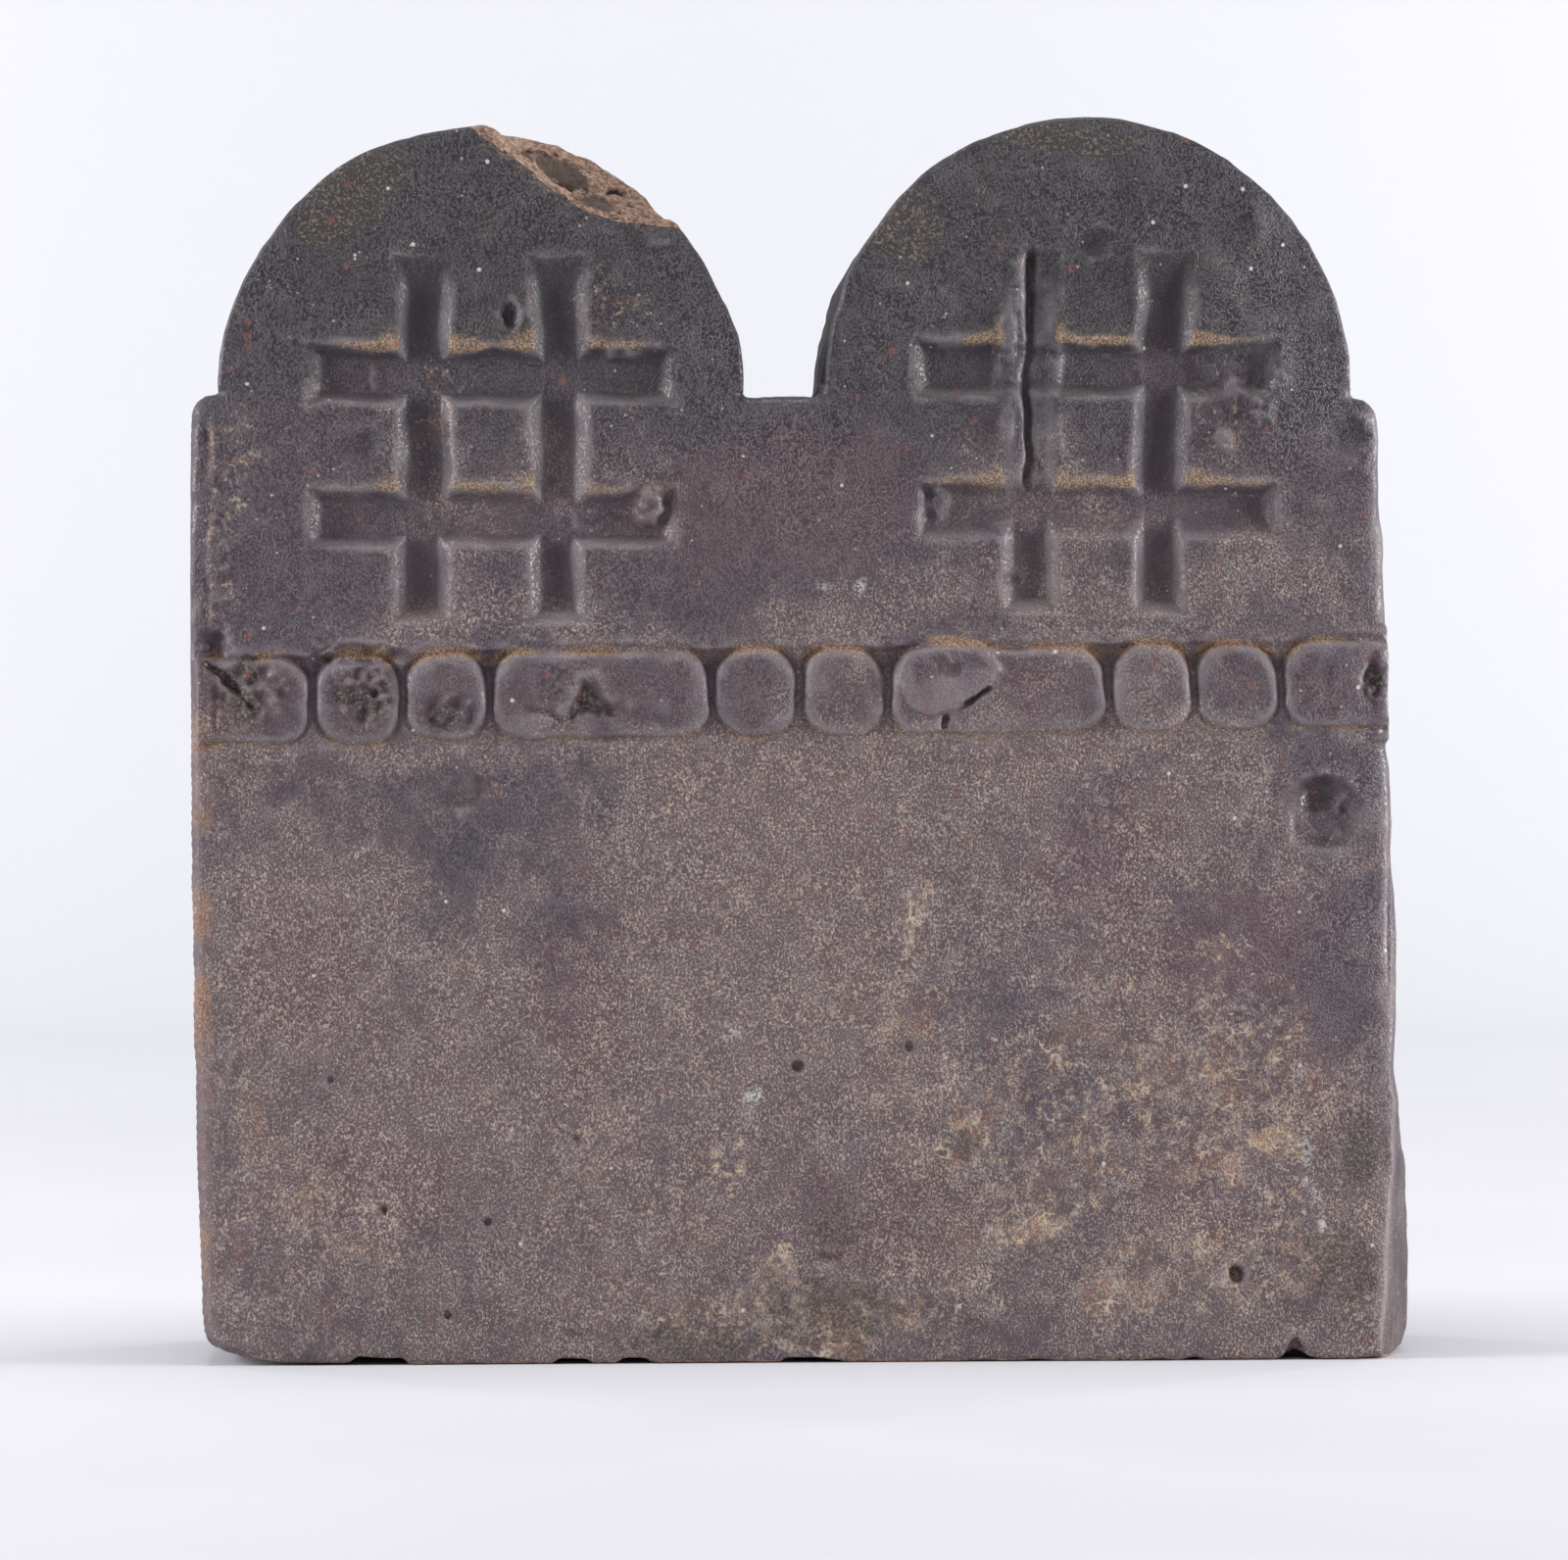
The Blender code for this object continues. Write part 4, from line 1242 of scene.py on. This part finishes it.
def tint(tree, share, first, second):
    """The second colour over the first, by share."""
    return add(tree, "ShaderNodeMix", {0: share, 6: first, 7: second}, data_type="RGBA").outputs[2]


def grain(tree, place, size, detail=2.0, roughness=0.5):
    inputs = {"Vector": place, "Scale": 1 / size, "Detail": detail, "Roughness": roughness}
    return add(tree, "ShaderNodeTexNoise", inputs).outputs["Fac"]


def mask(tree, name):
    return add(tree, "ShaderNodeAttribute", attribute_name=name).outputs["Fac"]


def new_group(name, **numbers):
    """A shared group that takes a place and some numbers, and puts out one number."""
    group = bpy.data.node_groups.new(name, "ShaderNodeTree")
    group.interface.new_socket("Place", in_out="INPUT", socket_type="NodeSocketVector")
    for socket, value in numbers.items():
        made = group.interface.new_socket(socket, in_out="INPUT", socket_type="NodeSocketFloat")
        made.default_value = value
    group.interface.new_socket("Mask", in_out="OUTPUT", socket_type="NodeSocketFloat")
    given = group.nodes.new("NodeGroupInput").outputs
    result = group.nodes.new("NodeGroupOutput").inputs["Mask"]
    scale = sums(group, "DIVIDE", 1.0, given["Size"])
    return group, given, scale, result


def group_noise(group, place, scale, detail, roughness):
    """Noise whose scale comes from a socket."""
    inputs = {"Vector": place, "Scale": scale, "Detail": detail, "Roughness": roughness}
    return add(group, "ShaderNodeTexNoise", inputs).outputs["Fac"]


def speckle_group():
    """Separate dots of one size, of which only a share is there."""
    group, given, scale, result = new_group("speckle", Size=0.002, Share=0.2)
    cells = add(group, "ShaderNodeTexVoronoi", {"Vector": given["Place"], "Scale": scale})
    near = stretch(group, cells.outputs["Distance"], 0.34, 0.16)
    chosen = add(group, "ShaderNodeSeparateColor", {0: cells.outputs["Color"]}).outputs[0]
    there = sums(group, "LESS_THAN", chosen, given["Share"])
    group.links.new(times(group, near, there), result)


def ragged_group():
    """A painted mask whose soft edge is broken up into a ragged, grainy one."""
    numbers = {"Painted": 0.0, "Size": 0.002, "Raggedness": 0.8, "Softness": 0.1}
    group, given, scale, result = new_group("ragged_edge", **numbers)
    lumps = sums(group, "SUBTRACT", group_noise(group, given["Place"], scale, 5.0, 0.68), 0.5)
    moved = sums(group, "ADD", given["Painted"], times(group, lumps, given["Raggedness"]))
    low = sums(group, "SUBTRACT", 0.5, given["Softness"])
    high = sums(group, "ADD", 0.5, given["Softness"])
    group.links.new(stretch(group, moved, low, high), result)


def squiggle_group():
    """Thin wandering lines, as a drying film leaves them."""
    group, given, scale, result = new_group("squiggle", Size=0.006, Width=0.012)
    waves = group_noise(group, given["Place"], scale, 2.0, 0.55)
    away = sums(group, "ABSOLUTE", sums(group, "SUBTRACT", waves, 0.5))
    group.links.new(stretch(group, sums(group, "DIVIDE", away, given["Width"]), 1.0, 0.4), result)


def peel_group():
    """The orange peel that salt leaves on a glaze: small crests, gathered in clusters."""
    group, given, scale, result = new_group("orange_peel", Size=0.0011, Gather=0.2)
    lumps = group_noise(group, given["Place"], scale, 2.0, 0.7)
    broad = group_noise(group, given["Place"], times(group, scale, 0.12), 4.0, 0.65)
    gathered = times(group, sums(group, "SUBTRACT", broad, 0.5), given["Gather"])
    group.links.new(stretch(group, sums(group, "ADD", lumps, gathered), 0.44, 0.68), result)


def use_group(tree, name, **inputs):
    """What the named shared group puts out for these inputs."""
    return add(tree, "ShaderNodeGroup", inputs, node_tree=bpy.data.node_groups[name]).outputs[0]


def broken_up(tree, place, name, size, raggedness, softness):
    """A mask of the skin with a ragged edge."""
    return use_group(tree, "ragged_edge", Place=place, Painted=mask(tree, name), Size=size,
                     Raggedness=raggedness, Softness=softness)


# The glaze, what lies on it and the clay under it
GLAZE_VIOLET = srgb(74, 60, 73)
GLAZE_BLUE = srgb(64, 55, 68)
GLAZE_BROWN = srgb(78, 63, 68)
GLAZE_WARM = srgb(118, 96, 97)
GLAZE_MAROON = srgb(94, 66, 73)
# The darker top, partly painted shade
GLAZE_DEEP = srgb(31, 27, 36)
GLAZE_DARK = srgb(41, 36, 40)
MATT_DARK = srgb(54, 48, 47)
MATT_SPECK = srgb(166, 150, 134)
CREST_GREY = srgb(160, 147, 146)
CREST_TAN = srgb(214, 190, 166)
DEPOSIT_TAN = srgb(204, 176, 140)
DEPOSIT_LACE = srgb(206, 186, 160)
DEPOSIT_GREY = srgb(172, 162, 150)
DEPOSIT_ORANGE = srgb(158, 104, 72)
DUST_OCHRE = srgb(190, 157, 120)
DUST_RUST = srgb(172, 126, 98)
DUST_DARK = srgb(88, 70, 60)
# Pale grey of worn edges and of painted highlights
WEAR_AND_HIGHLIGHT_GREY = srgb(158, 149, 151)
CLAY_RED = srgb(98, 72, 60)
CLAY_PALE = srgb(168, 138, 118)
# Painted shade in the break's hollows
CLAY_SHADE = srgb(46, 32, 27)
WHITE_SALT = srgb(214, 212, 206)
IRON_RED = srgb(128, 74, 56)
# Painted shade in the deep gaps
RECESS_SHADE = srgb(40, 34, 33)


def glaze_colour(tree, place):
    """Clouds of violet, blue and brown, warmer under the crust, with maroon stains."""
    clouds = stretch(tree, grain(tree, place, 0.045, detail=4.0), 0.36, 0.64)
    streaks = stretch(tree, grain(tree, place, 0.016, detail=5.0, roughness=0.6), 0.35, 0.68)
    colour = tint(tree, clouds, GLAZE_VIOLET, GLAZE_BLUE)
    colour = tint(tree, times(tree, streaks, 0.5), colour, GLAZE_BROWN)
    warm = broken_up(tree, place, "crust", size=0.012, raggedness=0.9, softness=0.45)
    colour = tint(tree, times(tree, warm, 0.8), colour, GLAZE_WARM)
    # Darker towards the top: partly the glaze's own tone, partly painted shade
    colour = tint(tree, mask(tree, "dark_top_glaze"), colour, GLAZE_DEEP)
    maroon = broken_up(tree, place, "maroon", size=0.014, raggedness=1.8, softness=0.30)
    return tint(tree, times(tree, maroon, 0.50), colour, GLAZE_MAROON)


def grain_colour(tree, place, colour, crust, crests):
    """Pale crests of the orange peel, partly painted glints, and dark valleys between them."""
    warmth = stretch(tree, grain(tree, place, 0.0009), 0.42, 0.60)
    crest_colour = tint(tree, warmth, CREST_GREY, CREST_TAN)
    # The crests' share never drops below 0.06, which keeps pale pinpoints on the lobes: partly real pale
    # crests, partly painted glints
    share = times(tree, crests, stretch(tree, crust, 0.0, 1.0, 0.06, 0.80))
    colour = tint(tree, share, colour, crest_colour)
    valleys = times(tree, sums(tree, "SUBTRACT", 1.0, crests), stretch(tree, crust, 0.0, 1.0, 0.22, 0.34))
    return tint(tree, valleys, colour, GLAZE_DARK)


def deposits(tree, place, colour, crests):
    """Clusters of tan and grey deposit, and faint orange stains."""
    orange = broken_up(tree, place, "tan", size=0.011, raggedness=1.5, softness=0.20)
    colour = tint(tree, times(tree, orange, 0.30), colour, DEPOSIT_ORANGE)
    fine = stretch(tree, crests, 0.0, 1.0, 0.35, 1.0)
    for cluster_size, strength, shade in ((0.0024, 0.66, DEPOSIT_TAN), (0.0036, 0.50, DEPOSIT_GREY)):
        cluster = broken_up(tree, place, "tan", size=cluster_size, raggedness=1.8, softness=0.10)
        colour = tint(tree, times(tree, cluster, fine, strength), colour, shade)
    lace = use_group(tree, "squiggle", Place=place, Size=LACE_SIZE, Width=0.036)
    laced = broken_up(tree, place, "tan", size=0.008, raggedness=1.6, softness=0.12)
    return tint(tree, times(tree, lace, laced, 0.75), colour, DEPOSIT_LACE)


def matt_colour(tree, place, colour, matt):
    """Dark matt patches with tan grains on them."""
    speck = stretch(tree, grain(tree, place, 0.0008, detail=4.0, roughness=0.7), 0.50, 0.62)
    patch = tint(tree, times(tree, speck, 0.62), MATT_DARK, MATT_SPECK)
    return tint(tree, times(tree, matt, 0.70), colour, patch)


def side_colour(tree, place, colour):
    """The two sides darker, and worn rusty arrises that are partly a painted highlight along the rims."""
    side_darkening = stretch(tree, grain(tree, place, 0.014, detail=5.0, roughness=0.7), 0.36, 0.62, 0.30, 0.85)
    colour = tint(tree, times(tree, mask(tree, "flank"), side_darkening), colour, GLAZE_DARK)
    # Rusty wear on the arrises, partly a painted highlight along the rims
    arris_wear_and_highlight = broken_up(tree, place, "arris", size=0.004, raggedness=1.8, softness=0.25)
    return tint(tree, times(tree, arris_wear_and_highlight, 0.34), colour, DUST_RUST)


def dusty_colour(tree, place, colour, dust):
    """Ochre and rusty dust, as grains over a brown stain."""
    dust_colour = tint(tree, mask(tree, "rust"), DUST_OCHRE, DUST_RUST)
    fine = stretch(tree, grain(tree, place, 0.0005, detail=3.0), 0.38, 0.64)
    dust_colour = tint(tree, fine, DUST_DARK, dust_colour)
    return tint(tree, times(tree, dust, 0.72), colour, dust_colour)


def specks(tree, place, colour):
    """Iron spots, white salt specks and chalky scratches."""
    iron = use_group(tree, "speckle", Place=place, Size=IRON_SIZE, Share=0.05)
    colour = tint(tree, times(tree, iron, 0.40), colour, IRON_RED)
    share = times(tree, mask(tree, "salt"), 0.05)
    salt = use_group(tree, "speckle", Place=place, Size=SALT_SIZE, Share=share)
    pinpoint = use_group(tree, "speckle", Place=place, Size=PINPOINT_SIZE, Share=0.010)
    chalk = times(tree, mask(tree, "chalk"), stretch(tree, grain(tree, place, 0.0009), 0.40, 0.56))
    white = most(tree, salt, times(tree, pinpoint, 0.5), chalk)
    return tint(tree, times(tree, white, 0.8), colour, WHITE_SALT)


def clay_colour(tree, place, colour, clay):
    """Bare clay in the break and under the foot, with painted shade in its hollows and pits."""
    crumbs = stretch(tree, grain(tree, place, 0.0013, detail=5.0, roughness=0.7), 0.38, 0.62)
    fresh = tint(tree, crumbs, CLAY_RED, CLAY_PALE)
    # Painted shade in the break's hollows and pits
    deep = stretch(tree, mask(tree, "hollow"), 0.53, 0.70)
    pits = broken_up(tree, place, "pit_shade", size=0.0030, raggedness=2.4, softness=0.20)
    fresh = tint(tree, most(tree, deep, times(tree, pits, 0.85)), fresh, CLAY_SHADE)
    return tint(tree, clay, colour, fresh)


def surface_height(tree, place, crust, crests, clay):
    """Height of the fine relief in millimetres."""
    height = times(tree, crests, stretch(tree, crust, 0.0, 1.0, 0.13, 0.24))
    for size, depth in ((0.0004, 0.05), (0.0022, 0.16), (0.006, 0.25)):
        height = sums(tree, "ADD", height, times(tree, grain(tree, place, size), depth))
    crumbs = times(tree, grain(tree, place, 0.0016, detail=4.0, roughness=0.65), 0.9, clay)
    return sums(tree, "ADD", height, crumbs)


def glaze_roughness(tree, place, dull):
    """Half glossy where the glaze is clean, dull where anything lies on it."""
    dull = most(tree, dull, times(tree, mask(tree, "flank"), 0.8))
    smooth = stretch(tree, grain(tree, place, 0.02, detail=3.0), 0.35, 0.65, 0.34, 0.46)
    smooth = sums(tree, "SUBTRACT", smooth, times(tree, mask(tree, "glossy"), 0.14))
    return add(tree, "ShaderNodeMix", {0: dull, 2: smooth, 3: DULL_ROUGHNESS}, data_type="FLOAT").outputs[0]


def glaze_material():
    """Salt glaze with its crust, stains and dust, painted highlights and painted shade, over red-brown clay.
    """
    material = bpy.data.materials.new("salt_glaze_skin")
    material.use_nodes = True
    tree = material.node_tree
    shader = tree.nodes["Principled BSDF"]
    for make_group in (speckle_group, ragged_group, squiggle_group, peel_group):
        make_group()
    place = add(tree, "ShaderNodeTexCoord").outputs["Object"]
    tall = add(tree, "ShaderNodeMapping", {"Vector": place, "Scale": GRAIN_STRETCH}).outputs["Vector"]

    gather = stretch(tree, mask(tree, "tan"), 0.16, 0.42, 0.20, 0.52)
    crests = use_group(tree, "orange_peel", Place=tall, Size=CREST_SIZE, Gather=gather)
    crust = broken_up(tree, place, "crust", size=0.006, raggedness=1.1, softness=0.40)
    matt = broken_up(tree, place, "matt_patch", size=0.006, raggedness=1.5, softness=0.14)
    dust = broken_up(tree, place, "dust", size=0.0016, raggedness=1.4, softness=0.30)
    clay = broken_up(tree, place, "bare_clay", size=0.003, raggedness=0.5, softness=0.05)

    colour = glaze_colour(tree, place)
    colour = grain_colour(tree, place, colour, crust, crests)
    # Pale grey on worn edges, and painted highlights on the bead rims, groove walls and highlight spots
    colour = tint(tree, times(tree, mask(tree, "edge"), 0.40), colour, WEAR_AND_HIGHLIGHT_GREY)
    colour = side_colour(tree, place, colour)
    colour = deposits(tree, place, colour, crests)
    colour = matt_colour(tree, place, colour, matt)
    colour = dusty_colour(tree, place, colour, dust)
    # Painted shade darkens the deep gaps and the slot
    colour = tint(tree, times(tree, mask(tree, "recess_shade"), 0.75), colour, RECESS_SHADE)
    colour = specks(tree, place, colour)
    colour = clay_colour(tree, place, colour, clay)
    tree.links.new(colour, shader.inputs["Base Color"])

    dull = most(tree, times(tree, crust, crests), dust, clay, matt)
    tree.links.new(glaze_roughness(tree, place, dull), shader.inputs["Roughness"])

    height = surface_height(tree, place, crust, crests, clay)
    bump = add(tree, "ShaderNodeBump", {"Height": height, "Distance": MM, "Strength": 1.0})
    tree.links.new(bump.outputs["Normal"], shader.inputs["Normal"])
    shader.inputs["IOR"].default_value = GLAZE_IOR
    return material


# The studio

# In metres, as everything of the studio is
FLOOR_WIDTH = 8.0
BACKDROP_Y = 2.5
BACKDROP_HEIGHT = 4.0
COVE_WIDTH = 0.9
COVE_STEPS = 24
FLOOR_DARK = (0.515, 0.512, 0.55, 1.0)
FLOOR_LIGHT = (0.535, 0.532, 0.57, 1.0)
BACKDROP_PAINT = (0.585, 0.585, 0.62, 1.0)


def studio_material():
    """Pale painted board with the faintest unevenness, whiter at the back."""
    material = bpy.data.materials.new("studio_board")
    material.use_nodes = True
    tree = material.node_tree
    shader = tree.nodes["Principled BSDF"]
    place = add(tree, "ShaderNodeTexCoord").outputs["Object"]
    cloud = stretch(tree, grain(tree, place, 0.20, detail=3.0), 0.3, 0.7)
    floor_colour = tint(tree, cloud, FLOOR_DARK, FLOOR_LIGHT)
    back = stretch(tree, add(tree, "ShaderNodeSeparateXYZ", {0: place}).outputs["Y"], 0.5, 1.8)
    colour = tint(tree, back, floor_colour, BACKDROP_PAINT)
    tree.links.new(colour, shader.inputs["Base Color"])
    shader.inputs["Roughness"].default_value = 0.85
    return material


def build_studio():
    """A pale floor that turns up into a backdrop behind the marker."""
    bpy.ops.object.select_all(action="DESELECT")
    bpy.ops.mesh.primitive_plane_add(size=1.0, location=(0.0, 0.0, 0.0))
    floor = bpy.context.active_object
    floor.name = "studio_floor"
    floor.scale = (FLOOR_WIDTH, 2 * BACKDROP_Y, 1.0)
    bpy.ops.object.transform_apply(location=True, rotation=False, scale=True)
    bpy.ops.object.mode_set(mode="EDIT")
    bpy.ops.mesh.select_all(action="DESELECT")
    bpy.ops.object.mode_set(mode="OBJECT")
    for edge in floor.data.edges:
        edge.select = all(floor.data.vertices[index].co.y > 0 for index in edge.vertices)
    bpy.ops.object.mode_set(mode="EDIT")
    bpy.ops.mesh.select_mode(type="EDGE")
    bpy.ops.mesh.extrude_region_move(TRANSFORM_OT_translate={"value": (0.0, 0.0, BACKDROP_HEIGHT)})
    bpy.ops.object.mode_set(mode="OBJECT")
    bevel = floor.modifiers.new("cove", "BEVEL")
    bevel.width = COVE_WIDTH
    bevel.segments = COVE_STEPS
    apply_all(floor)
    bpy.ops.object.shade_smooth()
    floor.data.materials.append(studio_material())


MARKER_MIDDLE = (0.0, 0.0, 0.16)
WALL_MIDDLE = (0.0, BACKDROP_Y, 0.6)
WHITE = (1.0, 1.0, 1.0)
SOFT_LIGHTS = (
    # name, place, where it points, width, height, power, colour
    ("right_box", (1.30, -0.20, 0.34), MARKER_MIDDLE, 0.5, 0.6, 27.0, WHITE),
    ("left_box", (-1.30, -0.22, 0.50), MARKER_MIDDLE, 0.5, 0.8, 25.0, (0.98, 0.99, 1.0)),
    ("top_box", (0.0, -0.06, 1.60), MARKER_MIDDLE, 1.0, 0.7, 14.0, (1.0, 0.99, 0.98)),
    ("front_box", (-0.2, -1.5, 1.30), MARKER_MIDDLE, 1.4, 0.8, 6.0, WHITE),
    ("backdrop_left", (-1.6, 1.2, 1.0), WALL_MIDDLE, 1.2, 1.0, 30.0, WHITE),
    ("backdrop_right", (1.6, 1.2, 1.0), WALL_MIDDLE, 1.2, 1.0, 28.5, WHITE),
)
AIR_COLOUR = (0.96, 0.97, 1.0, 1.0)
AIR_STRENGTH = 0.14


def soft_light(name, place, target, width, height, power, colour):
    light = bpy.data.lights.new(name, "AREA")
    light.shape = "RECTANGLE"
    light.size = width
    light.size_y = height
    light.energy = power
    light.color = colour
    lamp = bpy.data.objects.new(name, light)
    lamp.location = place
    lamp.rotation_euler = (Vector(target) - Vector(place)).to_track_quat("-Z", "Y").to_euler()
    bpy.context.scene.collection.objects.link(lamp)


def light_studio():
    """Soft boxes round the marker, two on the backdrop and faint light from all round."""
    for values in SOFT_LIGHTS:
        soft_light(*values)
    world = bpy.data.worlds.new("studio_air")
    world.use_nodes = True
    sky = world.node_tree.nodes["Background"]
    sky.inputs["Color"].default_value = AIR_COLOUR
    sky.inputs["Strength"].default_value = AIR_STRENGTH
    bpy.context.scene.world = world
    bpy.context.scene.view_settings.view_transform = "Standard"


# The camera stands where the photo's did, level and turned a little to the right
CAMERA_PLACE = (-0.0744, -1.3288, 0.14875)
CAMERA_TURN = math.radians(-3.0)
LENS_LENGTH = 117.0
SENSOR_WIDTH = 36.0


def place_camera():
    lens = bpy.data.cameras.new("photo_camera")
    lens.lens = LENS_LENGTH
    lens.sensor_width = SENSOR_WIDTH
    camera = bpy.data.objects.new("photo_camera", lens)
    camera.location = CAMERA_PLACE
    camera.rotation_euler = (math.radians(90.0), 0.0, CAMERA_TURN)
    bpy.context.scene.collection.objects.link(camera)
    bpy.context.scene.camera = camera


def build_marker():
    """The dressed marker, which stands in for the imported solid."""
    marker = fine_skin()
    sculpt(marker)
    thin_skin(marker)
    write_skin(marker, read_skin(marker)[0])
    paint_masks(marker)
    select_only(marker)
    bpy.ops.object.shade_smooth()
    marker.data.materials.append(glaze_material())
    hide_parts("grave_marker")
    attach(marker, "root")


build_marker()
build_studio()
light_studio()
place_camera()
